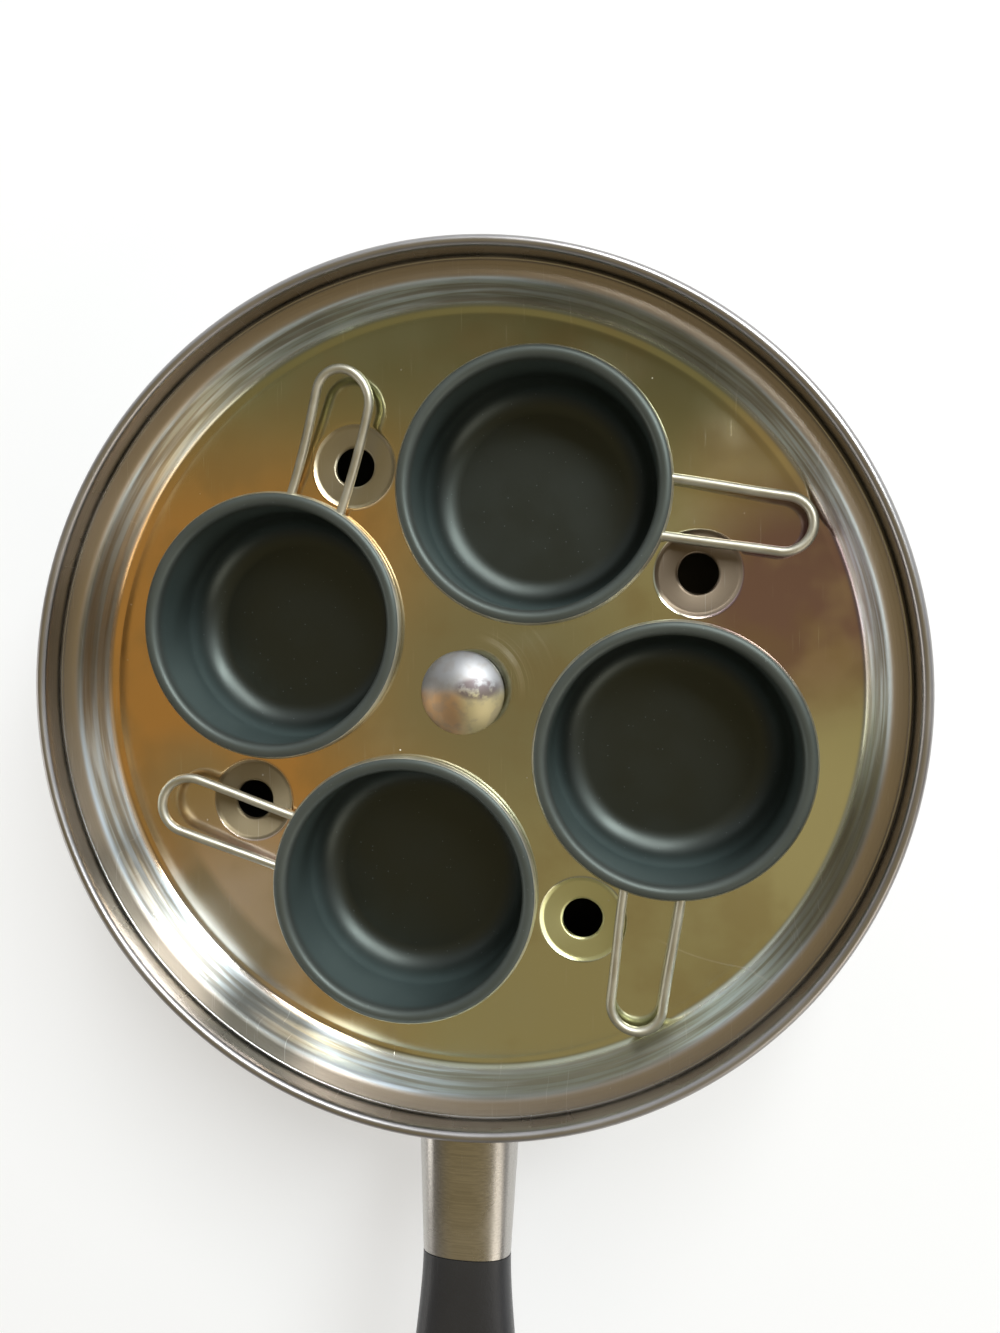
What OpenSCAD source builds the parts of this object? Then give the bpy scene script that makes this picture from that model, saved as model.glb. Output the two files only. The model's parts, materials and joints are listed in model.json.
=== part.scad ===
// Egg poacher pan: a shallow pan with a long handle, a lift-out tray and four cups with wire loops.
// The origin is the middle of the pan's underside, +Z is up, and the handle points along -Y.

/* [Pan] */
// Inside diameter of the pan below its ledge
pan_inner_d = 200; // [198:1:230]
// Height of the pan over its rolled rim
pan_h = 69; // [66:1:90]
// Thickness of the pan's steel sheet
pan_sheet = 0.8; // [0.6:0.1:1.2]
// Inside radius between the pan's floor and its wall
pan_corner_r = 12; // [6:1:16]
// Width of the ledge that carries the tray
ledge_w = 3.3; // [2.6:0.1:4]
// Height from the ledge to the top of the rolled rim
collar_h = 7.5; // [7:0.1:12]
// Diameter of the rolled rim's tube
rim_roll_d = 2.6; // [2.4:0.1:4]

/* [Base] */
// Distance from the edge of the heat-spreading disc to the start of the pan's corner
core_margin = 6; // [2:0.5:20]
// Thickness of the heat-spreading disc
core_h = 4; // [3:0.1:6]
// Thickness of the cap over the disc
cap_sheet = 0.5; // [0.4:0.1:0.8]
// Rounding of the disc's lower edge
core_edge_r = 1.5; // [0.5:0.1:2.5]

/* [Tray] */
// Thickness of the tray's steel sheet
tray_sheet = 0.7; // [0.5:0.1:1]
// Depth of the tray's plate below its flange
tray_depth = 12.5; // [9:0.1:14]
// Gap around the flange inside the pan's collar
flange_gap = 0.9; // [0.3:0.1:1.2]
// Gap between the tray's upper wall and the pan's wall
tray_wall_gap = 1.5; // [0.8:0.1:2.5]
// Inside radius between the tray's plate and its wall
tray_corner_r = 3.4; // [2:0.1:4.5]
// Inside radius of the bend under the flange
flange_bend_r = 1.5; // [0.4:0.1:1.5]
// How far the wall steps outward halfway up
wall_step = 0.8; // [0.4:0.1:1.2]
// Height of the sloped band of that step
wall_step_h = 1; // [0.6:0.1:1.6]
// Depth of the collar turned down around each cup hole
hole_collar_h = 2; // [1.2:0.1:4]

/* [Cups] */
// Gap between each cup's bead and the tray's wall
cup_wall_gap = 9.3; // [7:0.1:16]
// Thickness of a cup's sheet
cup_sheet = 0.7; // [0.5:0.1:1]
// Inside depth of a cup below the middle of its bead
cup_depth = 25; // [20:0.1:28]
// Inside radius between a cup's floor and its wall
cup_corner_r = 8.5; // [5:0.1:12]
// Gap between the beads of neighbouring cups
cup_gap = 6.6; // [5:0.1:8]
// Gap between a cup's wall and its hole in the tray
cup_hole_gap = 0.7; // [0.4:0.1:0.9]
// How much the underside of the bead is flattened where it sits
bead_flat = 0.15; // [0.1:0.01:0.3]
// Direction of the first cup from the pan's middle, in degrees
cup_turn = 71.8; // [60:0.1:80]
// How far each cup is turned in its hole, in degrees
cup_turns = [-82.3, -93.6, -92.5, -80.1]; // [-95:0.1:-79]

/* [Wire loops] */
// Diameter of the wire
wire_d = 2.4; // [1.8:0.1:2.6]
// Gap between the tray's wall and the tip of each loop
loop_wall_gaps = [5, 13.4, 12.6, 3.4]; // [3:0.1:20]
// How far the tip of each loop is bent sideways
loop_sways = [0.1, 2.4, 0.1, 0.3]; // [-3:0.1:3]
// Distance between the wire's legs at the cup, middle to middle
loop_root_w = 13.9; // [13:0.1:17]
// Distance between the wire's legs at the tip of each loop, middle to middle
loop_tip_ws = [13, 14.2, 14.4, 12.6]; // [11:0.1:15]
// How far the tip of each loop rises above the bead
loop_rises = [3.6, 4.7, 3.6, 1.2]; // [1:0.1:6]
// Radius of the bend where each leg leaves the bead
loop_bend_r = 2.6; // [2:0.1:3.4]
// Length of wire held in the bead on each side, in degrees round the cup
foot_angle = 16; // [8:1:24]
// Gap around the wire inside the bead
foot_gap = 0.05; // [0.02:0.01:0.1]
// Gap around the wire where it leaves the bead
exit_gap = 0.15; // [0.1:0.01:0.3]

/* [Vents] */
// Diameter of a steam vent
vent_d = 9.8; // [6:0.1:12]
// Diameter of the dish pressed around a vent
dish_d = 22.4; // [16:0.1:22.6]
// Depth of that dish inside its sloped edge
dish_depth = 0.6; // [0.4:0.1:1.2]
// Width of the dish's sloped edge
dish_edge_w = 1.8; // [0.8:0.1:2.4]
// How far the dish's floor falls from its edge to the vent
dish_fall = 0.3; // [0.1:0.1:0.6]
// Gap between a dish and the beads of the cups beside it
dish_gap = 0.2; // [0.1:0.1:1]

/* [Knob] */
// Diameter of the knob's dome
knob_d = 21.2; // [16:0.1:24]
// Height of the dome above its edge
dome_h = 5; // [4:0.1:8]
// Height of the dome's edge above the tray
knob_lift = 6.5; // [5:0.1:8]
// Thickness of the dome's sheet
dome_sheet = 0.8; // [0.6:0.1:1.2]
// Thickness of the plate inside the dome
knob_plate_h = 1.2; // [1:0.1:1.6]
// Gap between that plate and the dome
knob_plate_gap = 0.05; // [0.02:0.01:0.1]
// Diameter of the stem under the dome
stem_d = 10; // [8:0.1:12]
// Diameter of the knob's screw
knob_screw_d = 4; // [3:0.1:5]
// Depth of the screw in the stem
screw_grip_l = 5; // [4:0.1:6]
// Diameter of the screw's head
knob_screw_head_d = 7.6; // [6.6:0.1:9]
// Height of the screw's head
knob_screw_head_h = 2.4; // [2:0.1:3]
// Diameter of the washer under the tray
washer_d = 10; // [9.2:0.1:14]
// Thickness of the washer
washer_h = 0.8; // [0.6:0.1:1.2]

/* [Handle] */
// Height of the handle's middle at the pan's wall
handle_z = 48; // [40:1:49]
// Upward tilt of the handle, in degrees
handle_tilt = 10; // [4:1:16]
// Width of the bracket's pad on the pan
pad_w = 30; // [26:1:40]
// Height of the pad
pad_h = 20; // [14:1:22]
// Thickness of the pad
pad_sheet = 1.5; // [1.2:0.1:2]
// Width of the tongue inside the grip
tongue_w = 12; // [9:0.1:14]
// Thickness of the tongue
tongue_h = 5; // [4:0.1:6]
// Length of the tongue from the pan's wall
tongue_l = 66; // [60:1:80]
// Distance from the pan's wall to the ferrule
ferrule_start = 3; // [2:0.1:5]
// Length of the ferrule
ferrule_l = 37; // [28:1:40]
// Width of the ferrule next to the pan
ferrule_w = 26; // [25:0.1:32]
// Height of the ferrule next to the pan
ferrule_h = 19; // [17:0.1:24]
// Thickness of the ferrule's sheet
ferrule_sheet = 0.8; // [0.6:0.1:1.2]
// Length of the grip's spigot inside the ferrule
spigot_l = 8; // [5:0.1:12]
// Distance from the ferrule to the grip's widest place
grip_swell = 38; // [30:1:60]
// Length of the grip beyond the ferrule
grip_l = 132; // [110:1:160]
// Width of the grip next to the ferrule
grip_nose_w = 22; // [20:0.1:24]
// Width of the grip at its widest
grip_w = 27; // [24:0.1:32]
// Width of the grip's round end
grip_end_w = 24; // [22:0.1:28]
// Thickness of the grip
grip_h = 14; // [13:0.1:16]
// Bevel along the grip's edges
grip_bevel = 3; // [1:0.1:4]
// Diameter of the hanging hole
hang_hole_d = 10; // [6:0.1:12]
// Diameter of the grip's screw
grip_screw_d = 4; // [3:0.1:5]
// Diameter of that screw's head
grip_screw_head_d = 7.6; // [6:0.1:8.6]
// Height of that screw's head
grip_screw_head_h = 2.4; // [1.6:0.1:3]
// Gap around the tongue and the spigot
handle_gap = 0.1; // [0.05:0.01:0.2]
// Gap around the screws in their holes
screw_gap = 0.05; // [0.02:0.01:0.1]

/* [Hidden] */
$fn = 96;
eps = 0.01;
// How far a cut runs past the faces it goes through
cut = 1;
cup_count = 4;

// The pan's heights and radii
shell_bottom = cap_sheet + core_h;
pan_r = pan_inner_d / 2;
pan_out_r = pan_r + pan_sheet;
rim_roll_r = rim_roll_d / 2;
rim_z = pan_h - rim_roll_r;
ledge_z = pan_h - collar_h;
collar_r = pan_r + ledge_w;
core_r = pan_r - pan_corner_r - core_margin;

// The tray's heights and radii
flange_top = ledge_z + tray_sheet;
flange_r = collar_r - flange_gap;
tray_top = flange_top - tray_depth;
upper_wall_r = pan_r - tray_wall_gap - tray_sheet;
lower_wall_r = upper_wall_r - wall_step;
step_z = (tray_top + flange_top) / 2;

// The cups fill the tray's plate but for the gaps beside their beads
cup_r = (lower_wall_r - cup_wall_gap - cup_gap / sqrt(2)) / (1 + sqrt(2));
cup_pitch_r = (2 * cup_r + cup_gap) / sqrt(2);

// The cup's heights and radii, from the tray's plate up
bead_r = wire_d / 2 + foot_gap + cup_sheet;
bead_z = bead_r - bead_flat;
cup_in_r = cup_r - 2 * bead_r;
cup_floor = bead_z - cup_depth;
foot_r = cup_in_r + bead_r;
cup_hole_r = cup_in_r + cup_sheet + cup_hole_gap;

// The vents lie between neighbouring cups, with each dish just clear of both beads
dish_r = dish_d / 2;
dish_reach = cup_r + dish_gap + dish_r;
vent_pitch_r = cup_pitch_r / sqrt(2) + sqrt(pow(dish_reach, 2) - pow(cup_pitch_r, 2) / 2);

// The wire's path: it leaves the bead in a bend that ends square to the loop's width
root_y = loop_root_w / 2;
leave_angle = asin((root_y + loop_bend_r) / (foot_r + loop_bend_r));
leg_start_x = (foot_r + loop_bend_r) * cos(leave_angle);
// Extra width of the window that each leg leaves the bead through, for the start of its bend
bend_room = loop_bend_r / 3;
wire_sides = 12;
foot_steps = 4;
bend_steps = 5;
leg_steps = 5;
tip_steps = 7;

// The dome is part of a sphere
dome_r = (pow(knob_d / 2, 2) + pow(dome_h, 2)) / (2 * dome_h);
dome_z = tray_top + knob_lift + dome_h - dome_r;
dome_inner_r = dome_r - dome_sheet;
plate_top = tray_top + knob_lift + knob_plate_h;
plate_r = sqrt(pow(dome_inner_r, 2) - pow(plate_top - dome_z, 2)) - knob_plate_gap;
tray_under = tray_top - tray_sheet;
// Room beyond the end of the knob's screw
screw_end_gap = 0.5;

// Places along the handle, from the pan's wall out
grip_start = ferrule_start + ferrule_l;
grip_end = grip_start + grip_l;
hang_y = grip_end - grip_end_w / 2;
screw_y = (grip_start + tongue_l) / 2;
tongue_start = 1;
tongue_end_gap = 1;
head_recess = 0.6;

function reversed(points) = [for (index = [len(points) - 1 : -1 : 0]) points[index]];

// A quarter ring of sheet: the bend at the lower right of its own middle
module lower_bend(inner_r, sheet) {
    intersection() {
        difference() {
            circle(r = inner_r + sheet);
            circle(r = inner_r);
        }
        translate([0, -inner_r - sheet]) square(inner_r + sheet);
    }
}

// A quarter ring of sheet: the bend at the upper left of its own middle
module upper_bend(inner_r, sheet) {
    rotate([0, 0, 180]) lower_bend(inner_r, sheet);
}

// An edge rolled outward and down into a tube that stays open beside the wall
module roll(outer_r, sheet) {
    difference() {
        circle(r = outer_r);
        circle(r = outer_r - sheet);
        translate([sheet - outer_r, -outer_r - eps]) square([outer_r - sheet, outer_r + eps]);
    }
}

// Half the section of a disc whose lower edge is rounded
module disc_section(outer_r, height, edge_r) {
    square([outer_r - edge_r, height]);
    translate([0, edge_r]) square([outer_r, height - edge_r]);
    translate([outer_r - edge_r, edge_r]) circle(r = edge_r);
}

module pan_section() {
    corner_x = pan_r - pan_corner_r;
    corner_z = shell_bottom + pan_sheet + pan_corner_r;
    translate([0, shell_bottom]) square([corner_x, pan_sheet]);
    translate([corner_x, corner_z]) lower_bend(pan_corner_r, pan_sheet);
    translate([pan_r, corner_z]) square([pan_sheet, ledge_z - corner_z]);
    translate([pan_r, ledge_z - pan_sheet]) square([ledge_w + pan_sheet, pan_sheet]);
    translate([collar_r, ledge_z - pan_sheet]) square([pan_sheet, rim_z - ledge_z + pan_sheet]);
    translate([collar_r + rim_roll_r, rim_z]) roll(rim_roll_r, pan_sheet);
}

module pan_shell() {
    color([0.72, 0.70, 0.66]) rotate_extrude() pan_section();
}

module base_core() {
    color([0.75, 0.76, 0.78])
        translate([0, 0, cap_sheet])
            rotate_extrude() disc_section(core_r, core_h, core_edge_r);
}

module base_cap() {
    color([0.66, 0.65, 0.62])
        rotate_extrude()
            difference() {
                disc_section(core_r + cap_sheet, core_h + cap_sheet, core_edge_r + cap_sheet);
                translate([0, cap_sheet]) disc_section(core_r, core_h + eps, core_edge_r);
            }
}

// Moves what is drawn outward along +Y to the handle's own place and tilt
module on_handle() {
    rotate([0, 0, 180])
        translate([0, pan_out_r, handle_z])
            rotate([handle_tilt, 0, 0])
                children();
}

module handle_bracket() {
    color([0.70, 0.69, 0.66]) {
        intersection() {
            difference() {
                cylinder(r = pan_out_r + pad_sheet, h = pan_h);
                translate([0, 0, -eps]) cylinder(r = pan_out_r, h = pan_h + 2 * eps);
            }
            translate([-pad_w / 2, -pan_out_r - pad_sheet, handle_z - pad_h / 2])
                cube([pad_w, pad_w, pad_h]);
        }
        on_handle()
            difference() {
                translate([-tongue_w / 2, tongue_start, -tongue_h / 2])
                    cube([tongue_w, tongue_l - tongue_start, tongue_h]);
                translate([0, screw_y, -tongue_h])
                    cylinder(r = grip_screw_d / 2 + screw_gap, h = 2 * tongue_h);
            }
    }
}

// A thin slice across the handle with round sides
module handle_slice(y, width, height) {
    for (side = [-1, 1])
        translate([side * (width - height) / 2, y, 0])
            rotate([-90, 0, 0]) cylinder(d = height, h = eps, $fn = 32);
}

// The ferrule's outer form, or its cavity when inset by the sheet
module ferrule_form(inset, reach) {
    hull() {
        handle_slice(ferrule_start - reach, ferrule_w - 2 * inset, ferrule_h - 2 * inset);
        handle_slice(grip_start + reach, grip_nose_w - 2 * inset, grip_h - 2 * inset);
    }
}

module handle_ferrule() {
    color([0.72, 0.71, 0.69])
        on_handle()
            difference() {
                ferrule_form(0, 0);
                ferrule_form(ferrule_sheet, eps);
            }
}

// A flat disc with both its edges bevelled
module bevelled_disc(width, height, bevel) {
    translate([0, 0, bevel - height / 2]) cylinder(d = width, h = height - 2 * bevel, $fn = 32);
    translate([0, 0, -height / 2]) cylinder(d = width - 2 * bevel, h = height, $fn = 32);
}

module grip_form() {
    hull() {
        handle_slice(grip_start, grip_nose_w, grip_h);
        translate([0, grip_start + grip_swell, 0]) bevelled_disc(grip_w, grip_h, grip_bevel);
        translate([0, hang_y, 0]) bevelled_disc(grip_end_w, grip_h, grip_bevel);
    }
    fit = ferrule_sheet + handle_gap;
    hull() {
        handle_slice(grip_start - spigot_l, grip_nose_w - 2 * fit, grip_h - 2 * fit);
        handle_slice(grip_start, grip_nose_w - 2 * fit, grip_h - 2 * fit);
    }
}

module handle_grip() {
    socket_start = grip_start - spigot_l - cut;
    socket_end = tongue_l + tongue_end_gap;
    head_r = (grip_screw_head_d + 2 * handle_gap) / 2;
    color([0.06, 0.06, 0.065])
        on_handle()
            difference() {
                grip_form();
                translate([-tongue_w / 2 - handle_gap, socket_start, -tongue_h / 2 - handle_gap])
                    cube([tongue_w + 2 * handle_gap, socket_end - socket_start, tongue_h + 2 * handle_gap]);
                translate([0, screw_y, -grip_h]) cylinder(r = grip_screw_d / 2 + screw_gap, h = grip_h);
                translate([0, screw_y, -grip_h])
                    cylinder(r = head_r, h = grip_h / 2 + head_recess + grip_screw_head_h);
                translate([0, hang_y, -grip_h]) cylinder(d = hang_hole_d, h = 2 * grip_h);
            }
}

module handle_screw() {
    head_bottom = head_recess - grip_h / 2;
    color([0.62, 0.62, 0.62])
        on_handle()
            translate([0, screw_y, head_bottom])
                difference() {
                    union() {
                        cylinder(d = grip_screw_head_d, h = grip_screw_head_h);
                        cylinder(d = grip_screw_d, h = tongue_h / 2 - head_bottom);
                    }
                    screw_recess(grip_screw_head_d, grip_screw_head_h);
                }
}

// The crossed slots in the underside of a screw's head
module screw_recess(head_d, head_h) {
    slot_l = 0.6 * head_d;
    slot_w = 0.16 * head_d;
    for (turn = [0, 90])
        rotate([0, 0, turn])
            translate([-slot_l / 2, -slot_w / 2, -eps]) cube([slot_l, slot_w, head_h / 2]);
}

module tray_section() {
    corner_x = lower_wall_r - tray_corner_r;
    corner_z = tray_top + tray_corner_r;
    step_low = step_z - wall_step_h / 2;
    step_high = step_z + wall_step_h / 2;
    bend_x = upper_wall_r + tray_sheet + flange_bend_r;
    bend_z = flange_top - tray_sheet - flange_bend_r;
    translate([0, tray_under]) square([corner_x, tray_sheet]);
    translate([corner_x, corner_z]) lower_bend(tray_corner_r, tray_sheet);
    translate([lower_wall_r, corner_z]) square([tray_sheet, step_low - corner_z]);
    polygon([
        [lower_wall_r, step_low],
        [lower_wall_r + tray_sheet, step_low],
        [upper_wall_r + tray_sheet, step_high],
        [upper_wall_r, step_high]
    ]);
    translate([upper_wall_r, step_high]) square([tray_sheet, bend_z - step_high]);
    translate([bend_x, bend_z]) upper_bend(flange_bend_r, tray_sheet);
    translate([bend_x, ledge_z]) square([flange_r - bend_x, tray_sheet]);
}

// Moves what is drawn to the middle of one cup
module at_cup(index) {
    rotate([0, 0, cup_turn + index * 360 / cup_count])
        translate([cup_pitch_r, 0, 0])
            children();
}

module at_cups() {
    for (index = [0 : cup_count - 1])
        at_cup(index) children();
}

// Repeats what is drawn at each vent, halfway between two cups
module at_vents() {
    for (index = [0 : cup_count - 1])
        rotate([0, 0, cup_turn + (index + 0.5) * 360 / cup_count])
            translate([vent_pitch_r, 0, 0])
                children();
}

// The dish around a vent, from the tray's plate down
module vent_dish() {
    upper_face = [
        [vent_d / 2, -dish_depth - dish_fall],
        [dish_r - dish_edge_w, -dish_depth],
        [dish_r, 0]
    ];
    lower_face = [for (p = upper_face) [p[0], p[1] - tray_sheet]];
    rotate_extrude() polygon(concat(upper_face, reversed(lower_face)));
}

// A round cut right through the tray's plate
module through_plate(radius) {
    translate([0, 0, tray_under - cut]) cylinder(r = radius, h = tray_sheet + 2 * cut);
}

module poaching_tray() {
    color([0.74, 0.70, 0.62]) {
        difference() {
            rotate_extrude() tray_section();
            at_cups()
                through_plate(cup_hole_r + tray_sheet);
            at_vents()
                through_plate(dish_r);
            through_plate(knob_screw_d / 2 + screw_gap);
        }
        at_cups()
            translate([0, 0, tray_top - hole_collar_h])
                difference() {
                    cylinder(r = cup_hole_r + tray_sheet, h = hole_collar_h);
                    translate([0, 0, -cut]) cylinder(r = cup_hole_r, h = hole_collar_h + 2 * cut);
                }
        at_vents()
            translate([0, 0, tray_top]) vent_dish();
    }
}

module knob_dome() {
    color([0.80, 0.79, 0.77])
        difference() {
            translate([0, 0, dome_z]) sphere(r = dome_r);
            translate([0, 0, dome_z]) sphere(r = dome_inner_r);
            translate([-dome_r, -dome_r, dome_z - 2 * dome_r])
                cube([2 * dome_r, 2 * dome_r, tray_top + knob_lift - dome_z + 2 * dome_r]);
        }
}

module knob_stem() {
    color([0.74, 0.73, 0.71])
        difference() {
            union() {
                translate([0, 0, tray_top]) cylinder(d = stem_d, h = knob_lift + knob_plate_h);
                translate([0, 0, tray_top + knob_lift]) cylinder(r = plate_r, h = knob_plate_h);
            }
            translate([0, 0, tray_top - eps])
                cylinder(r = knob_screw_d / 2 + screw_gap, h = screw_grip_l + screw_end_gap);
        }
}

module knob_washer() {
    color([0.66, 0.66, 0.66])
        translate([0, 0, tray_under - washer_h])
            difference() {
                cylinder(d = washer_d, h = washer_h);
                translate([0, 0, -eps]) cylinder(r = knob_screw_d / 2 + screw_gap, h = washer_h + 2 * eps);
            }
}

module knob_screw() {
    head_bottom = tray_under - washer_h - knob_screw_head_h;
    color([0.62, 0.62, 0.62])
        translate([0, 0, head_bottom])
            difference() {
                union() {
                    cylinder(d = knob_screw_head_d, h = knob_screw_head_h);
                    cylinder(d = knob_screw_d, h = tray_top + screw_grip_l - head_bottom);
                }
                screw_recess(knob_screw_head_d, knob_screw_head_h);
            }
}

// Moves a cup or its loop, drawn round the origin and above height zero, to its own hole in the tray
module in_hole(index) {
    at_cup(index)
        translate([0, 0, tray_top])
            rotate([0, 0, cup_turns[index]])
                children();
}

module cup_section() {
    corner_x = cup_in_r - cup_corner_r;
    corner_z = cup_floor + cup_corner_r;
    translate([0, cup_floor - cup_sheet]) square([corner_x, cup_sheet]);
    translate([corner_x, corner_z]) lower_bend(cup_corner_r, cup_sheet);
    translate([cup_in_r, corner_z]) square([cup_sheet, bead_z - corner_z]);
    difference() {
        translate([cup_in_r + bead_r, bead_z]) roll(bead_r, cup_sheet);
        translate([cup_in_r + cup_sheet, -bead_r]) square([2 * bead_r, bead_r]);
    }
}

module cup_shell(index) {
    window_h = wire_d + 2 * exit_gap;
    window_w = window_h + bend_room;
    window_y = root_y + bend_room / 2;
    color([0.13, 0.17, 0.18])
        in_hole(index)
            difference() {
                rotate_extrude() cup_section();
                for (side = [-1, 1])
                    translate([foot_r, side * window_y - window_w / 2, bead_z - window_h / 2])
                        cube([2 * bead_r, window_w, window_h]);
            }
}

// Distance from a cup's middle to the tip of its loop, which ends at its gap from the tray's wall
function loop_end(index) =
    let (out = lower_wall_r - loop_wall_gaps[index], turn = cup_turns[index])
        sqrt(pow(out, 2) - pow(cup_pitch_r * sin(turn), 2)) - cup_pitch_r * cos(turn);

// A point of a loop's wire, raised and swayed by its share of the way out to the tip
function leaning(index, x, y) =
    let (share = (x - leg_start_x) / (loop_end(index) - wire_d / 2 - leg_start_x))
        [x, y + loop_sways[index] * pow(share, 2), loop_rises[index] * share];

// One foot of the wire, inside the bead
function foot_points() = [
    for (step = [0 : foot_steps - 1])
        let (angle = leave_angle + foot_angle * (1 - step / foot_steps))
            [foot_r * cos(angle), foot_r * sin(angle), 0]
];

// The bend by which a leg leaves the bead
function bend_points() = [
    for (step = [0 : bend_steps])
        let (angle = 180 + leave_angle + (90 - leave_angle) * step / bend_steps)
            [
                (foot_r + loop_bend_r) * cos(leave_angle) + loop_bend_r * cos(angle),
                (foot_r + loop_bend_r) * sin(leave_angle) + loop_bend_r * sin(angle),
                0
            ]
];

// One leg of a loop and its half of the tip, for the leg on the given side
function leg_points(index, side) =
    let (tip_r = loop_tip_ws[index] / 2, tip_x = loop_end(index) - wire_d / 2 - tip_r)
    concat(
        [
            for (step = [1 : leg_steps - 1])
                let (
                    share = step / leg_steps,
                    x = leg_start_x + (tip_x - leg_start_x) * share,
                    y = root_y + (tip_r - root_y) * share
                )
                leaning(index, x, side * y)
        ],
        [
            for (step = [0 : tip_steps])
                let (angle = 90 - 90 * step / tip_steps)
                    leaning(index, tip_x + tip_r * cos(angle), side * tip_r * sin(angle))
        ]
    );

function mirrored(points) = [for (p = points) [p[0], -p[1], p[2]]];

// The whole wire from foot to foot, with the tip's middle point once
function loop_path(index) =
    let (
        start = concat(foot_points(), bend_points()),
        near = concat(start, leg_points(index, 1)),
        far = concat(mirrored(start), leg_points(index, -1)),
        back = reversed(far)
    )
    concat(near, [for (step = [1 : len(back) - 1]) back[step]]);

function unit(v) = v / norm(v);

// A ring of points round the path at one of its points, square to the path
function wire_ring(path, index) =
    let (
        last = len(path) - 1,
        along = unit(path[min(index + 1, last)] - path[max(index - 1, 0)]),
        across = unit(cross(along, [0, 0, 1])),
        up = cross(across, along)
    )
    [
        for (side = [0 : wire_sides - 1])
            let (angle = side * 360 / wire_sides)
                path[index] + wire_d / 2 * (across * cos(angle) + up * sin(angle))
    ];

// A closed tube along a path that never runs straight up
module wire(path) {
    rings = len(path);
    points = [for (index = [0 : rings - 1]) each wire_ring(path, index)];
    walls = [
        for (ring = [0 : rings - 2])
            for (side = [0 : wire_sides - 1])
                let (
                    next = (side + 1) % wire_sides,
                    a = ring * wire_sides + side,
                    b = ring * wire_sides + next,
                    c = a + wire_sides,
                    d = b + wire_sides
                )
                each [[a, b, c], [b, d, c]]
    ];
    first_cap = [for (side = [1 : wire_sides - 2]) [0, side + 1, side]];
    base = (rings - 1) * wire_sides;
    last_cap = [for (side = [1 : wire_sides - 2]) [base, base + side, base + side + 1]];
    polyhedron(points = points, faces = concat(walls, first_cap, last_cap), convexity = 6);
}

module cup_loop(index) {
    color([0.80, 0.79, 0.77])
        in_hole(index)
            translate([0, 0, bead_z]) wire(loop_path(index));
}

pan_shell();
base_core();
base_cap();
handle_bracket();
handle_ferrule();
handle_grip();
handle_screw();
poaching_tray();
knob_dome();
knob_stem();
knob_screw();
knob_washer();
cup_shell(0);  // cup_shell_1
cup_shell(1);  // cup_shell_2
cup_shell(2);  // cup_shell_3
cup_shell(3);  // cup_shell_4
cup_loop(0);  // cup_loop_1
cup_loop(1);  // cup_loop_2
cup_loop(2);  // cup_loop_3
cup_loop(3);  // cup_loop_4
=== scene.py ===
"""Looks of the egg poacher pan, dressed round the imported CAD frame.

Sections and sizes are in millimetres, as in the construction, and meshes are scaled to metres when they are made.
"""
import json
import math

import bmesh
import bpy
from mathutils import Matrix, Vector


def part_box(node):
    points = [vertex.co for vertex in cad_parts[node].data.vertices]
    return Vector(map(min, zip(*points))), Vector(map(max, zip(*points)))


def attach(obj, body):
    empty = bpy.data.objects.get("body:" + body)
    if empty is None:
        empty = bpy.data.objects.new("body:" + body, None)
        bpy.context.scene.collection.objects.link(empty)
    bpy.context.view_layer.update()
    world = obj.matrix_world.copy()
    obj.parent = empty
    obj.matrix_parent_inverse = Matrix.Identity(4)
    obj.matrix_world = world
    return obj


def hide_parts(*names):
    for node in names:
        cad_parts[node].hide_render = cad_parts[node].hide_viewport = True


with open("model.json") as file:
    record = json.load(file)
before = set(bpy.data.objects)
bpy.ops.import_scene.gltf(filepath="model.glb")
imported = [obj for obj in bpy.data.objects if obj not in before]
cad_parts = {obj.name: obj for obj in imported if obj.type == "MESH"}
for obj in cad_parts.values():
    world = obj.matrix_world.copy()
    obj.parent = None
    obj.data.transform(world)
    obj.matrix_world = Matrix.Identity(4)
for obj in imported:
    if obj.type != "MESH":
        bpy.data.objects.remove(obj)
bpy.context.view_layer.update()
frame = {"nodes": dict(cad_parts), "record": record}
MM = 0.001


def box_mm(node):
    """Lowest and highest corner of a CAD node, in millimetres."""
    low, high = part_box(node)
    return low / MM, high / MM


# Camera, at the photograph's viewing angle over the pan, in metres
CAMERA_PLACE = Vector((0.04245, 0.01678, 0.2968))
CAMERA_LOOK = Vector((-0.15553, -0.03888, -0.98707))
CAMERA_UP = Vector((0.0, 0.99923, -0.03936))
SENSOR_MM = 36.0
FOCAL_MM = 27.007
SHIFT_RIGHT = 0.0144
SHIFT_UP = -0.0027

# Stage: floor and world, in metres
FLOOR_SIZE = 30.0
FLOOR_Z = -0.0001
FLOOR_COLOUR = (0.92, 0.92, 0.91)
# How far the backdrop's own white shows over the lit floor
FLOOR_WHITE = 0.45
# World colours by the sine of the height above the horizon, away from the window and towards it
DIM_SKY = (
    (0.00, (0.60, 0.59, 0.58)),
    (0.12, (0.44, 0.43, 0.42)),
    (0.36, (0.22, 0.21, 0.20)),
    (0.70, (0.215, 0.190, 0.145)),
    (0.88, (0.33, 0.262, 0.137)),
    (1.00, (0.34, 0.27, 0.14)),
)
BRIGHT_SKY = (
    (0.00, (0.84, 0.88, 0.94)),
    (0.30, (0.74, 0.78, 0.84)),
    (0.66, (0.58, 0.61, 0.65)),
    (0.86, (0.34, 0.34, 0.31)),
    (0.94, (0.13, 0.105, 0.06)),
    (1.00, (0.13, 0.105, 0.06)),
)
TO_WINDOW = Vector((0.25, 0.97, 0.0))
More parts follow.
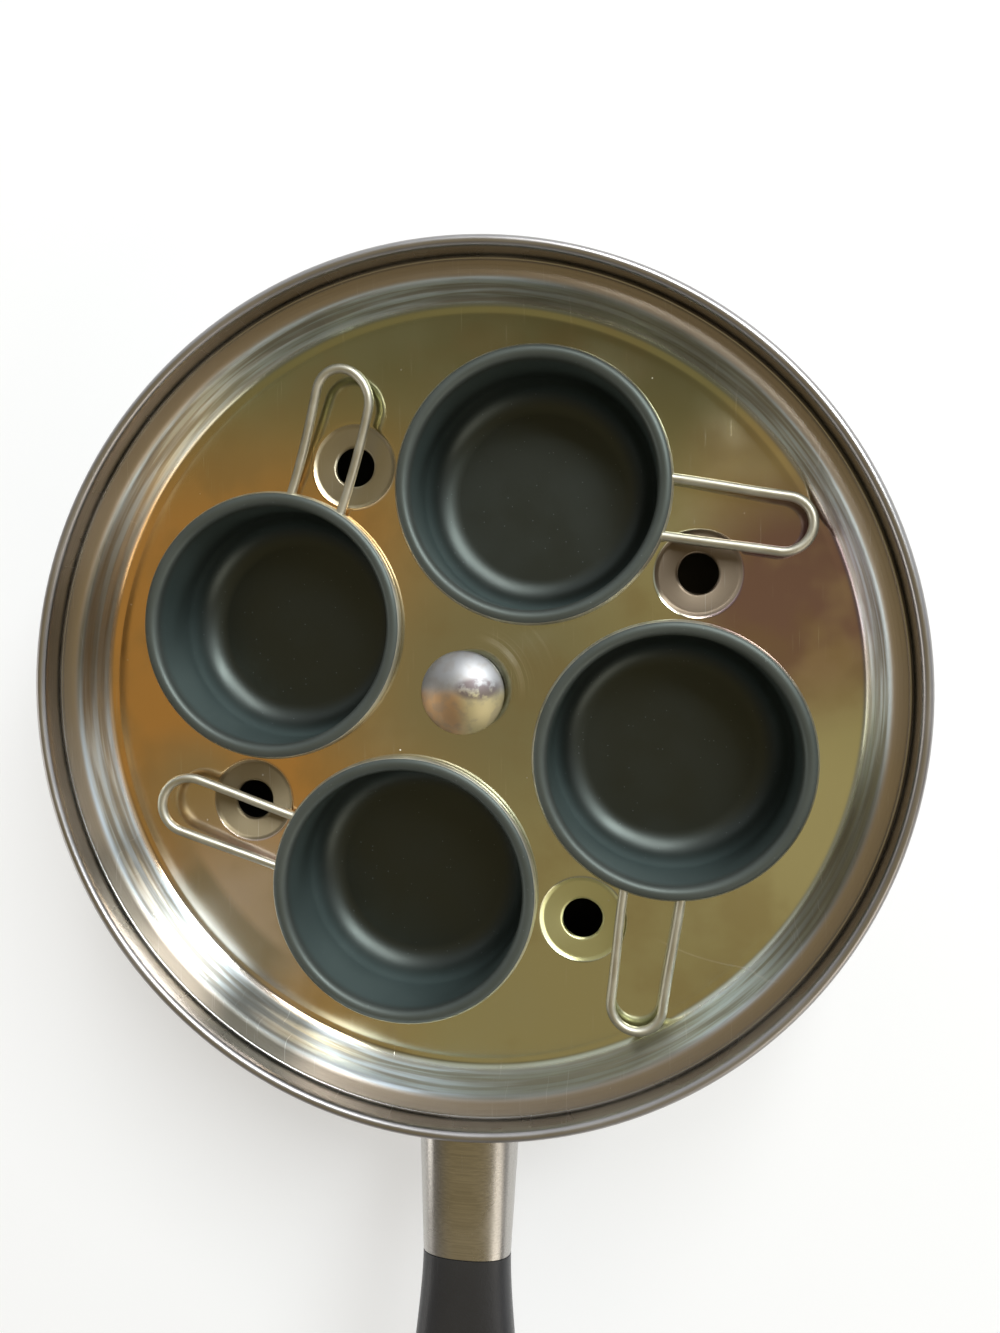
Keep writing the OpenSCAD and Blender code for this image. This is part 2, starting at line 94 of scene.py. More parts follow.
# Lamps: name, place, size, watts and colour
LAMPS = (
    ("window_right", (0.80, 0.78, 1.20), (0.36, 0.80), 17.0, (0.90, 0.96, 1.0)),
    ("window_left", (0.27, 1.08, 1.20), (0.22, 0.80), 10.0, (0.93, 0.96, 1.0)),
    ("lamp_left", (-1.30, -0.30, 0.42), (0.70, 0.45), 2.0, (1.0, 0.97, 0.92)),
    ("lamp_right", (0.95, -0.95, 0.90), (0.95, 0.75), 4.0, (1.0, 0.93, 0.82)),
)
LAMP_AIM = Vector((0.0, 0.0, 0.05))

# The dark painted reflection on the knob, with its y counted double, in metres
KNOB_DARK_REFLECTION = (0.0042, 0.0024, 0.0)
# A long scratch on the plate, in metres: the middle of its arc, its radius and the place round which it shows
SCRATCH_MIDDLE = (0.073, -0.010, 0.0497)
SCRATCH_R = 0.0573
SCRATCH_SPOT = (0.063, -0.066)
# Where the plate shows the round marks of wiping beside the knob, in metres
WIPED_SPOT = (0.0115, 0.0080)

# Pan
PAN_SHEET = 0.8
PAN_R = 100.0
PAN_FLOOR = 5.3
PAN_CORNER_R = 12.0
LEDGE_Z = 61.5
COLLAR_R = 103.3
LEDGE_BEND_R = 1.0
COLLAR_BEND_R = 0.8
RIM_ROLL_R = 1.3
PAN_TOP = box_mm("pan_shell")[1].z
CAP_SHEET = 0.5
CAP_H = 4.5
CAP_R = 82.5
CAP_EDGE_R = 2.0

# Tray
TRAY_SHEET = 0.7
FLANGE_TOP = box_mm("poaching_tray")[1].z
PLATE_Z = FLANGE_TOP - 12.5
FLANGE_R = COLLAR_R - 0.9
PLATE_R = 93.6
TRAY_CORNER_R = 3.4
UPPER_WALL_R = 97.8
LOWER_WALL_R = 97.0
STEP_LOW = (PLATE_Z + FLANGE_TOP) / 2 - 0.5
STEP_H = 1.0
FLANGE_BEND_R = 2.2
SUPPORT = 0.4
HOLE_BEND_R = 1.0
HOLE_COLLAR_H = 2.0
DISH_R = 11.2
DISH_EDGE_W = 1.8
DISH_DEPTH = 0.6
DISH_FALL = 0.3
VENT_R = 4.9
VENT_LIP_R = 0.8
SCREW_HOLE_R = 2.05
# Tints of the round dishes, which mirror different parts of the room, from the upper left one anticlockwise
DISH_TINTS = ((0.49, 0.43, 0.30), (0.26, 0.21, 0.13), (0.72, 0.70, 0.36), (0.18, 0.14, 0.10))
# Where the wall shows dim parts of the room, in degrees from +X
DIM_WALL = (62.0, 168.0, 286.0, 336.0)
# Where narrow dim parts of the room cross the wall and the flange, and how dim they are
DIM_STRIPES = ((210.0, 0.55), (238.5, 0.88))

# Cups
CUP_COUNT = 4
CUP_SHEET = 0.7
COAT = 0.08
BEAD_R = 1.95
BEAD_Z = PLATE_Z + 1.8
CUP_DEPTH = 25.0
CUP_CORNER_R = 8.5
CUP_TURN = 71.8
# The side of each cup that faces the window, in degrees from +X, where the coat's painted light is strongest
WINDOW_SIDE = 240.0
# Where the coat ends on the bead, in degrees above the bead's middle
COAT_END = 50.0

# Wire loops, each turned with its cup. A loop ends at its gap from the tray's wall, and its tip is swayed and raised
LOOP_TURNS = (-82.3, -93.6, -92.5, -80.1)
LOOP_WALL_GAPS = (5.0, 13.4, 12.6, 3.4)
LOOP_SWAYS = (0.1, 2.4, 0.1, 0.3)
LOOP_RISES = (3.6, 4.7, 3.6, 1.2)
LOOP_TIP_RS = (6.5, 7.1, 7.2, 6.3)
LOOP_ROOT = 6.95
WIRE_R = 1.2
LOOP_BEND_R = 2.6
FOOT_DEGREES = 16.0

# Knob
KNOB_R = 10.6
KNOB_EDGE_Z = PLATE_Z + 6.5
DOME_H = 5.0
DOME_SHEET = 0.8
DOME_LIP = 0.35
STEM_R = 5.0
STEM_PLATE_R = 8.2
STEM_PLATE_H = 1.2

# Handle, along its own axis from the pan's wall
HANDLE_Z = 48.0
HANDLE_TILT = 10.0
PAN_OUT_R = PAN_R + PAN_SHEET
PAD_W = 30.0
PAD_H = 20.0
PAD_SHEET = 1.5
TONGUE_W = 12.0
TONGUE_H = 5.0
TONGUE_L = 66.0
FERRULE = ((3.0, 26.0, 19.0), (40.0, 22.0, 14.0))
FERRULE_SHEET = 0.8
GRIP_START = 40.0
GRIP_SWELL = 38.0
GRIP_END = 172.0
GRIP_NOSE_W = 22.0
GRIP_W = 27.0
GRIP_END_W = 24.0
GRIP_H = 14.0
HANG_R = 5.0
HANG_Y = GRIP_END - GRIP_END_W / 2

# Steps round a turned piece
ROUND = 224


def arc(centre_x, centre_z, radius, start, end, steps=10):
    """Points of an arc in a section, between two angles in degrees."""
    angles = [math.radians(start + (end - start) * step / steps) for step in range(steps + 1)]
    return [(centre_x + radius * math.cos(a), centre_z + radius * math.sin(a)) for a in angles]


def offset(path, distance):
    """The path moved sideways, to the right of its own direction."""
    moved = []
    for index, (x, z) in enumerate(path):
        before = path[max(index - 1, 0)]
        after = path[min(index + 1, len(path) - 1)]
        along = Vector((after[0] - before[0], after[1] - before[1])).normalized()
        moved.append((x + along.y * distance, z - along.x * distance))
    return moved


def sheet_outline(path, near, far):
    """Outline of a sheet between two offsets of a path, with its free end rounded."""
    steps = 5
    inner = offset(path, near)
    outer = offset(path, far)
    middle = Vector(((inner[-1][0] + outer[-1][0]) / 2, (inner[-1][1] + outer[-1][1]) / 2))
    radial = Vector(inner[-1]) - middle
    turn = 1 if far > near else -1
    end = []
    for step in range(1, steps):
        angle = -turn * math.pi * step / steps
        end.append(tuple(middle + Matrix.Rotation(angle, 2) @ radial))
    return inner + end + outer[::-1]


def new_object(name, mesh, smooth_angle=38.0):
    """An object in the scene with smooth shading but for its sharp edges."""
    mesh.shade_smooth()
    mesh.set_sharp_from_angle(angle=math.radians(smooth_angle))
    made = bpy.data.objects.new(name, mesh)
    bpy.context.scene.collection.objects.link(made)
    return made


def mesh_from(bm, name):
    """A mesh in metres from a bmesh in millimetres."""
    bmesh.ops.scale(bm, vec=Vector((MM, MM, MM)), verts=bm.verts)
    mesh = bpy.data.meshes.new(name)
    bm.to_mesh(mesh)
    bm.free()
    return mesh


def ring(bm, radius, z, centre=(0.0, 0.0), steps=ROUND):
    """A circle of vertices, or one vertex on the axis."""
    if radius < 1e-6:
        return [bm.verts.new((centre[0], centre[1], z))]
    angles = [2 * math.pi * step / steps for step in range(steps)]
    return [
        bm.verts.new((centre[0] + radius * math.cos(a), centre[1] + radius * math.sin(a), z)) for a in angles
    ]


def bridge(bm, lower, upper):
    """Faces between two rings, one of which may be a single vertex."""
    count = max(len(lower), len(upper))
    for step in range(count):
        following = (step + 1) % count
        if len(lower) == 1:
            corners = (lower[0], upper[following], upper[step])
        elif len(upper) == 1:
            corners = (lower[step], lower[following], upper[0])
        else:
            corners = (lower[step], lower[following], upper[following], upper[step])
        bm.faces.new(corners)


def turned(bm, outline, closed, centre=(0.0, 0.0), steps=ROUND):
    """Turns an outline round an upright axis and returns its rings."""
    rings = [ring(bm, max(x, 0.0), z, centre, steps) for x, z in outline]
    for lower, upper in zip(rings, rings[1:]):
        if len(lower) > 1 or len(upper) > 1:
            bridge(bm, lower, upper)
    if closed:
        bridge(bm, rings[-1], rings[0])
    return rings


def lathe(name, outline, centre=(0.0, 0.0), steps=ROUND):
    """A closed turned solid. An outline that starts on the axis ends on it too."""
    bm = bmesh.new()
    on_axis = outline[0][0] < 1e-6
    turned(bm, outline, not on_axis, centre, steps)
    bmesh.ops.recalc_face_normals(bm, faces=bm.faces)
    return new_object(name, mesh_from(bm, name))


def make_camera():
    data = bpy.data.cameras.new("camera")
    data.sensor_width = SENSOR_MM
    data.lens = FOCAL_MM
    data.shift_x = SHIFT_RIGHT
    data.shift_y = SHIFT_UP
    data.clip_start = 0.01
    camera = bpy.data.objects.new("camera", data)
    camera.matrix_world = look_matrix(CAMERA_PLACE, CAMERA_LOOK, CAMERA_UP)
    bpy.context.scene.collection.objects.link(camera)
    bpy.context.scene.camera = camera


def look_matrix(place, look, up):
    """Matrix of a camera or lamp at place that looks along look."""
    back = -look.normalized()
    right = up.cross(back).normalized()
    top = back.cross(right)
    turn = Matrix((right, top, back)).transposed().to_4x4()
    return Matrix.Translation(place) @ turn


def make_world():
    """A room with dim walls, a bright window side, a pale horizon and a mid-grey ceiling."""
    world = bpy.data.worlds.new("studio")
    world.use_nodes = True
    tree = world.node_tree
    direction = tree.nodes.new("ShaderNodeTexCoord").outputs["Generated"]
    parts = tree.nodes.new("ShaderNodeSeparateXYZ")
    tree.links.new(direction, parts.inputs["Vector"])
    towards = tree.nodes.new("ShaderNodeVectorMath")
    towards.operation = "DOT_PRODUCT"
    towards.inputs[1].default_value = TO_WINDOW
    tree.links.new(direction, towards.inputs[0])
    share = tree.nodes.new("ShaderNodeMapRange")
    share.interpolation_type = "SMOOTHSTEP"
    share.inputs["From Min"].default_value = 0.04
    share.inputs["From Max"].default_value = 0.34
    tree.links.new(towards.outputs["Value"], share.inputs["Value"])
    blend = tree.nodes.new("ShaderNodeMix")
    blend.data_type = "RGBA"
    tree.links.new(share.outputs["Result"], blend.inputs["Factor"])
    tree.links.new(sky_ramp(tree, parts.outputs["Z"], DIM_SKY), blend.inputs[6])
    tree.links.new(sky_ramp(tree, parts.outputs["Z"], BRIGHT_SKY), blend.inputs[7])
    tree.links.new(blend.outputs[2], tree.nodes["Background"].inputs["Color"])
    bpy.context.scene.world = world


def sky_ramp(tree, height, stops):
    """The colour of one side of the room at a height."""
    ramp = tree.nodes.new("ShaderNodeValToRGB")
    tree.links.new(height, ramp.inputs["Fac"])
    for index, (position, colour) in enumerate(stops):
        stop = ramp.color_ramp.elements[index] if index < 2 else ramp.color_ramp.elements.new(position)
        stop.position = position
        stop.color = (*colour, 1.0)
    return ramp.outputs["Color"]


def make_lamps():
    for name, place, size, watts, colour in LAMPS:
        data = bpy.data.lights.new(name, "AREA")
        data.shape = "RECTANGLE"
        data.size, data.size_y = size
        data.energy = watts
        data.color = colour
        place = Vector(place)
        holder = bpy.data.objects.new(name, data)
        holder.matrix_world = look_matrix(place, LAMP_AIM - place, Vector((0.0, 0.0, 1.0)))
        bpy.context.scene.collection.objects.link(holder)


def make_floor():
    half = FLOOR_SIZE / 2
    mesh = bpy.data.meshes.new("floor")
    corners = [(-half, -half, FLOOR_Z), (half, -half, FLOOR_Z), (half, half, FLOOR_Z), (-half, half, FLOOR_Z)]
    mesh.from_pydata(corners, [], [(0, 1, 2, 3)])
    floor = bpy.data.objects.new("floor", mesh)
    bpy.context.scene.collection.objects.link(floor)
    paint = Paint("floor_paint")
    paint.set(Base_Color=(*FLOOR_COLOUR, 1.0), Roughness=0.9)
    rays = paint.add("ShaderNodeLightPath").outputs
    seen = paint.math("MAXIMUM", rays["Is Camera Ray"], rays["Is Glossy Ray"])
    seen = paint.math("MAXIMUM", seen, rays["Is Transmission Ray"])
    white = paint.add("ShaderNodeEmission", {"Color": (1.0, 1.0, 1.0, 1.0), "Strength": 1.0})
    share = paint.math("MULTIPLY", seen, FLOOR_WHITE)
    shown = paint.add("ShaderNodeMixShader", {0: share, 1: paint.shader.outputs["BSDF"], 2: white.outputs[0]})
    paint.put(paint.output.inputs["Surface"], shown.outputs[0])
    mesh.materials.append(paint.material)


class Paint:
    """A material with a Principled shader, and short ways to add nodes to its tree."""

    def __init__(self, name):
        self.material = bpy.data.materials.new(name)
        self.material.use_nodes = True
        self.tree = self.material.node_tree
        self.tree.nodes.clear()
        self.output = self.tree.nodes.new("ShaderNodeOutputMaterial")
        self.shader = self.tree.nodes.new("ShaderNodeBsdfPrincipled")
        self.tree.links.new(self.shader.outputs["BSDF"], self.output.inputs["Surface"])
        self.place = self.tree.nodes.new("ShaderNodeTexCoord").outputs["Object"]

    def put(self, socket, value):
        """Links an output to a socket, or sets the socket to a plain value."""
        if isinstance(value, bpy.types.NodeSocket):
            self.tree.links.new(value, socket)
        else:
            socket.default_value = value

    def set(self, **inputs):
        for key, value in inputs.items():
            self.put(self.shader.inputs[key.replace("_", " ")], value)

    def add(self, kind, inputs=(), **settings):
        """A new node with its inputs filled in order of their names or numbers."""
        node = self.tree.nodes.new(kind)
        for key, value in settings.items():
            setattr(node, key, value)
        for key, value in dict(inputs).items():
            self.put(node.inputs[key], value)
        return node

    def math(self, operation, first, second=0.0, clamp=False):
        node = self.add("ShaderNodeMath", {0: first, 1: second}, operation=operation, use_clamp=clamp)
        return node.outputs[0]

    def ramp(self, value, low, high, out_low=0.0, out_high=1.0):
        """Goes smoothly from out_low to out_high while value goes from low to high."""
        inputs = {"Value": value, "From Min": low, "From Max": high, "To Min": out_low, "To Max": out_high}
        return self.add("ShaderNodeMapRange", inputs, interpolation_type="SMOOTHSTEP").outputs["Result"]

    def mix(self, factor, first, second):
        """A blend of two colours."""
        node = self.add("ShaderNodeMix", data_type="RGBA")
        self.put(node.inputs["Factor"], factor)
        self.put(node.inputs[6], first)
        self.put(node.inputs[7], second)
        return node.outputs[2]

    def stretched(self, scale, turn=0.0):
        """The place in the object's own space, turned about Z and scaled along each axis."""
        inputs = {"Vector": self.place, "Scale": scale, "Rotation": (0.0, 0.0, math.radians(turn))}
        return self.add("ShaderNodeMapping", inputs).outputs["Vector"]

    def noise(self, scale, detail=3.0, vector=None, roughness=0.5):
        inputs = {"Vector": vector or self.place, "Scale": scale, "Detail": detail, "Roughness": roughness}
        return self.add("ShaderNodeTexNoise", inputs).outputs["Fac"]

    def height(self):
        return self.add("ShaderNodeSeparateXYZ", {"Vector": self.place}).outputs["Z"]

    def spun(self, lines):
        """Fine rings round the upright axis, with so many to the metre."""
        flat = self.stretched((1.0, 1.0, 0.0))
        radius = self.add("ShaderNodeVectorMath", {0: flat}, operation="LENGTH").outputs["Value"]
        vector = self.add("ShaderNodeCombineXYZ", {"X": radius, "Y": self.height()}).outputs["Vector"]
        return self.noise(lines, 4.0, vector, 0.65)

    def streaks(self, lines, arcs):
        """Long uneven streaks round the upright axis, with so many to the metre across and so many in a turn."""
        flat = self.stretched((1.0, 1.0, 0.0))
        around = self.add("ShaderNodeVectorMath", {0: flat}, operation="NORMALIZE").outputs["Vector"]
        radius = self.add("ShaderNodeVectorMath", {0: flat}, operation="LENGTH").outputs["Value"]
        across = self.math("MULTIPLY", self.math("ADD", radius, self.height()), lines)
        spread = self.add("ShaderNodeVectorMath", {0: around, "Scale": arcs / 6.0}, operation="SCALE").outputs["Vector"]
        upward = self.add("ShaderNodeCombineXYZ", {"Z": across}).outputs["Vector"]
        place = self.add("ShaderNodeVectorMath", {0: spread, 1: upward}, operation="ADD").outputs["Vector"]
        return self.noise(1.0, 2.0, place)

    def hairlines(self, turn, density):
        """Sparse straight scratches in one direction."""
        lines = self.noise(1.0, 2.0, self.stretched((3000.0, 40.0, 40.0), turn))
        return self.ramp(lines, 0.72 - density, 0.80 - density)

    def specks(self, scale, size, share):
        """Small dots, at the given share of the cells of a random pattern."""
        node = self.add("ShaderNodeTexVoronoi", {"Vector": self.place, "Scale": scale})
        dot = self.ramp(node.outputs["Distance"], size, size * 0.6)
        chosen = self.add("ShaderNodeSeparateColor", {"Color": node.outputs["Color"]}).outputs["Red"]
        return self.math("MULTIPLY", dot, self.math("GREATER_THAN", chosen, 1.0 - share))

    def distance(self, vector, centre):
        return self.add("ShaderNodeVectorMath", {0: vector, 1: centre}, operation="DISTANCE").outputs["Value"]

    def relief(self, height, strength, depth=0.0001, below=None):
        inputs = {"Height": height, "Strength": strength, "Distance": depth}
        if below is not None:
            inputs["Normal"] = below
        return self.add("ShaderNodeBump", inputs).outputs["Normal"]


def polished_steel():
    """Bright turned steel of pan, knob and handle, worn on its rim, with painted reflections on the knob and painted
    shade, darker and duller, on the pan's floor under the tray.
    """
    paint = Paint("polished_steel")
    z = paint.height()
    rings = paint.spun(2600.0)
    smudge = paint.noise(26.0, 4.0)
    scratches = paint.math("MAXIMUM", paint.hairlines(25.0, 0.0), paint.hairlines(-50.0, 0.02))
    tone = paint.math("ADD", paint.math("MULTIPLY", rings, 0.6), paint.math("MULTIPLY", smudge, 0.4))
    colour = paint.mix(paint.ramp(tone, 0.35, 0.65), (0.38, 0.365, 0.34, 1.0), (0.54, 0.52, 0.49, 1.0))
    rim = paint.ramp(z, (PAN_TOP - 2.4) * MM, (PAN_TOP - 1.0) * MM)
    colour = paint.mix(paint.math("MULTIPLY", rim, 0.5), colour, (0.33, 0.31, 0.31, 1.0))
    # The knob's colours are painted reflections of the room.
    away = paint.distance(paint.place, (0.0, 0.0, KNOB_EDGE_Z * MM))
    on_knob = paint.ramp(away, 0.0135, 0.0115)
    colour = paint.mix(on_knob, colour, knob_painted_reflections(paint, z))
    # Painted shade: the pan's floor under the tray is darker, and duller too.
    low = paint.ramp(z, 0.0090, 0.0056)
    colour = paint.mix(low, colour, (0.16, 0.155, 0.14, 1.0))
    paint.set(Base_Color=colour, Metallic=1.0)
    gloss = paint.ramp(smudge, 0.35, 0.7, 0.20, 0.32)
    gloss = paint.math("MULTIPLY", gloss, paint.ramp(on_knob, 0.0, 1.0, 1.0, 2.5))
    gloss = paint.math("ADD", gloss, paint.math("MULTIPLY", rim, 0.10))
    gloss = paint.math("ADD", gloss, paint.math("MULTIPLY", scratches, 0.12))
    paint.set(Roughness=paint.math("ADD", gloss, paint.math("MULTIPLY", low, 0.3), clamp=True))
    fine = paint.relief(rings, 0.10, 0.00005)
    paint.set(Normal=paint.relief(scratches, 0.12, 0.00003, fine))
    return paint.material


def knob_painted_reflections(paint, z):
    """The knob's painted reflections: silver behind, amber at the left, yellow at the right, darker mottling and a dark
    patch, with painted light on its pale underside.
    """
    x, y = (paint.add("ShaderNodeSeparateXYZ", {"Vector": paint.place}).outputs[axis] for axis in "XY")
    side = paint.mix(paint.ramp(x, -0.002, 0.003), (0.58, 0.38, 0.21, 1.0), (0.66, 0.58, 0.34, 1.0))
    tint = paint.mix(paint.ramp(y, -0.0012, 0.0022), side, (0.41, 0.405, 0.40, 1.0))
    # Painted reflection: mottled darker clouds on the knob.
    mottled_reflection = paint.ramp(paint.noise(330.0, 5.0), 0.45, 0.62)
    tint = paint.mix(paint.math("MULTIPLY", mottled_reflection, 0.35), tint, (0.34, 0.30, 0.25, 1.0))
    # Painted reflection: a dark patch where the dark room above shows in the knob.
    away = paint.distance(paint.stretched((1.0, 2.0, 0.0)), KNOB_DARK_REFLECTION)
    patch = paint.math("MULTIPLY", paint.ramp(away, 0.0064, 0.0036), paint.ramp(paint.noise(520.0, 4.0), 0.3, 0.5))
    tint = paint.mix(paint.math("MULTIPLY", patch, 0.85), tint, (0.17, 0.13, 0.13, 1.0))
    # Painted light: the knob's underside is pale where shade would fall.
    under = paint.ramp(z, (KNOB_EDGE_Z + 0.12) * MM, (KNOB_EDGE_Z + 0.04) * MM)
    return paint.mix(under, tint, (0.86, 0.84, 0.80, 1.0))


def dull_steel(name, light, dark, roughness):
    """Turned steel with wipe scratches, for the base and the screws."""
    paint = Paint(name)
    rings = paint.spun(2600.0)
    scratches = paint.math("MAXIMUM", paint.hairlines(25.0, 0.0), paint.hairlines(-50.0, 0.02))
    paint.set(Base_Color=paint.mix(paint.ramp(rings, 0.35, 0.65), (*dark, 1.0), (*light, 1.0)), Metallic=1.0)
    gloss = paint.ramp(paint.noise(26.0, 4.0), 0.35, 0.7, roughness, roughness * 1.6)
    paint.set(Roughness=paint.math("ADD", gloss, paint.math("MULTIPLY", scratches, 0.15)))
    fine = paint.relief(rings, 0.25, 0.00005)
    paint.set(Normal=paint.relief(scratches, 0.3, 0.00003, fine))
    return paint.material


def tray_steel():
    """Steel polished on its plate and turned on its walls. The plate is tinted amber at the left and olive at the
    right, part heat tint and part painted reflection of the room, with painted reflections, highlights and shade in
    spots.
    """
    paint = Paint("tray_steel")
    x, y = (paint.add("ShaderNodeSeparateXYZ", {"Vector": paint.place}).outputs[axis] for axis in "XY")
    z = paint.height()
    # Amber to olive across the plate: part heat tint, part painted reflection of the room.
    drift = paint.math("MULTIPLY", paint.math("SUBTRACT", paint.noise(14.0, 2.0), 0.5), 0.09)
    across = paint.math("ADD", paint.math("SUBTRACT", x, paint.math("MULTIPLY", y, 0.25)), drift)
    plate = paint.mix(paint.ramp(across, -0.055, 0.02), (0.88, 0.52, 0.21, 1.0), (0.65, 0.66, 0.48, 1.0))
    # Painted reflections of the room in spots: darker at the top and the middle, and pale, warm and mauve patches.
    plate = paint.mix(paint.ramp(y, 0.035, 0.082), plate, (0.41, 0.43, 0.29, 1.0))
    plate = paint.mix(near_spot(paint, (0.006, 0.004), 0.055, 0.012, 0.8), plate, (0.44, 0.46, 0.38, 1.0))
    plate = paint.mix(near_spot(paint, (0.086, -0.032), 0.045, 0.008, 0.8), plate, (0.88, 0.92, 0.70, 1.0))
    plate = paint.mix(near_spot(paint, (0.070, 0.052), 0.024, 0.006, 0.6), plate, (0.80, 0.66, 0.44, 1.0))
    mauve_reflection = paint.mix(paint.ramp(paint.noise(38.0, 3.0), 0.46, 0.62), (0.36, 0.22, 0.27, 1.0), (0.56, 0.43, 0.38, 1.0))
    plate = paint.mix(near_spot(paint, (0.080, 0.022), 0.036, 0.014, 0.9), plate, mauve_reflection)
    plate = paint.mix(near_spot(paint, (-0.072, -0.027), 0.022, 0.006, 0.7), plate, (0.52, 0.48, 0.36, 1.0))
    # Painted light: a pale rosy glow near the wall's highlight at the lower left.
    plate = paint.mix(near_spot(paint, (-0.058, -0.058), 0.036, 0.010, 0.8), plate, (0.80, 0.76, 0.80, 1.0))
    flat = paint.stretched((1.0, 1.0, 0.0))
    # Painted shade: the plate's edge at the lower left is dimmed under the window's reflection.
    edge = paint.ramp(paint.distance(flat, (0.0, 0.0, 0.0)), 0.0825, 0.0860)
    edge = paint.math("MULTIPLY", edge, near_spot(paint, (-0.065, -0.061), 0.026, 0.012, 0.7))
    plate = paint.mix(edge, plate, (0.38, 0.37, 0.31, 1.0))
    smudge = paint.ramp(paint.noise(52.0, 5.0), 0.46, 0.70, 0.0, 0.35)
    plate = paint.mix(smudge, plate, (0.46, 0.37, 0.22, 1.0))
    pressed = paint.ramp(z, (PLATE_Z - 0.03) * MM, (PLATE_Z - 0.3) * MM)
    dishes = (0.42, 0.39, 0.30, 1.0)
    # Each dish's colour is a painted reflection of the room.
    for index, tint in enumerate(DISH_TINTS):
        spot = tuple(reach * MM for reach in vent_centre(index))
        dishes = paint.mix(near_spot(paint, spot, (DISH_R + 0.8) * MM, DISH_R * MM, 1.0), dishes, (*tint, 1.0))
    plate = paint.mix(pressed, plate, dishes)
    # Turned streaks on the wall; the blue-white of their pale parts is a painted reflection of the window.
    streaks = paint.ramp(paint.streaks(520.0, 22.0), 0.36, 0.64)
    wall = paint.mix(streaks, (0.46, 0.45, 0.40, 1.0), (0.78, 0.87, 0.91, 1.0))
    # Painted reflections of dim parts of the room on the wall.
    for degrees in DIM_WALL:
        spot = tuple(reach * MM for reach in polar(UPPER_WALL_R, degrees))
        wall = paint.mix(near_spot(paint, spot, 0.044, 0.012, 0.75), wall, (0.30, 0.27, 0.20, 1.0))
    flange = paint.ramp(z, (FLANGE_TOP - 0.8) * MM, (FLANGE_TOP - 0.2) * MM)
    wall = paint.mix(flange, wall, (0.52, 0.45, 0.37, 1.0))
    # Painted shade: narrow dim stripes across the wall and flange, over the window's reflection.
    for degrees, most in DIM_STRIPES:
        spot = tuple(reach * MM for reach in polar(UPPER_WALL_R, degrees))
        stripe_shade = paint.ramp(paint.distance(flat, (*spot, 0.0)), 0.020, 0.007, 0.0, most)
        wall = paint.mix(stripe_shade, wall, (0.13, 0.13, 0.11, 1.0))
    high = paint.ramp(z, (PLATE_Z + 0.3) * MM, (PLATE_Z + 1.5) * MM)
    specks = paint.specks(190.0, 0.05, 0.35)
    scratches = paint.math("MAXIMUM", paint.hairlines(12.0, 0.03), paint.hairlines(68.0, 0.02))
    scratches = paint.math("MAXIMUM", scratches, paint.hairlines(-38.0, 0.02))
    wiped = paint.ramp(paint.spun(1300.0), 0.47, 0.58)
    wiped = paint.math("MULTIPLY", wiped, near_spot(paint, WIPED_SPOT, 0.012, 0.004, 0.9))
    scratches = paint.math("MAXIMUM", scratches, wiped)
    scratches = paint.math("MAXIMUM", scratches, long_scratch(paint))
    marks = paint.math("MAXIMUM", paint.math("MULTIPLY", specks, 0.5), paint.math("MULTIPLY", scratches, 0.3))
    colour = paint.mix(marks, paint.mix(high, plate, wall), (0.90, 0.88, 0.84, 1.0))
    paint.set(Base_Color=colour, Metallic=1.0)
    gloss = paint.ramp(paint.noise(30.0, 5.0), 0.35, 0.7, 0.08, 0.17)
    gloss = paint.math("ADD", gloss, paint.math("MULTIPLY", scratches, 0.10))
    gloss = paint.math("ADD", gloss, paint.math("MULTIPLY", high, 0.28))
    gloss = paint.math("ADD", gloss, paint.math("MULTIPLY", pressed, 0.34))
    paint.set(Roughness=paint.math("ADD", gloss, paint.math("MULTIPLY", specks, 0.3), clamp=True))
    paint.set(Anisotropic=0.9, Anisotropic_Rotation=0.25)
    paint.set(Tangent=paint.add("ShaderNodeTangent", direction_type="RADIAL", axis="Z").outputs["Tangent"])
    wavy = paint.relief(paint.noise(34.0, 1.0), 0.10, 0.0008)
    grooves = paint.relief(paint.math("MULTIPLY", paint.spun(1500.0), high), 0.5, 0.0002, wavy)
    paint.set(Normal=paint.relief(scratches, 0.10, 0.00003, grooves))
    return paint.material


def long_scratch(paint):
    """One long curved scratch near a cup's loop."""
    off = paint.math("ABSOLUTE", paint.math("SUBTRACT", paint.distance(paint.place, SCRATCH_MIDDLE), SCRATCH_R))
    shown = near_spot(paint, SCRATCH_SPOT, 0.018, 0.013, 1.0)
    return paint.math("MULTIPLY", paint.ramp(off, 0.0003, 0.0001), shown)


def near_spot(paint, centre, far, near, most):
    """Rises from 0 to most between two distances from a place on the plate."""
    return paint.ramp(paint.distance(paint.place, (*centre, PLATE_Z * MM)), far, near, 0.0, most)


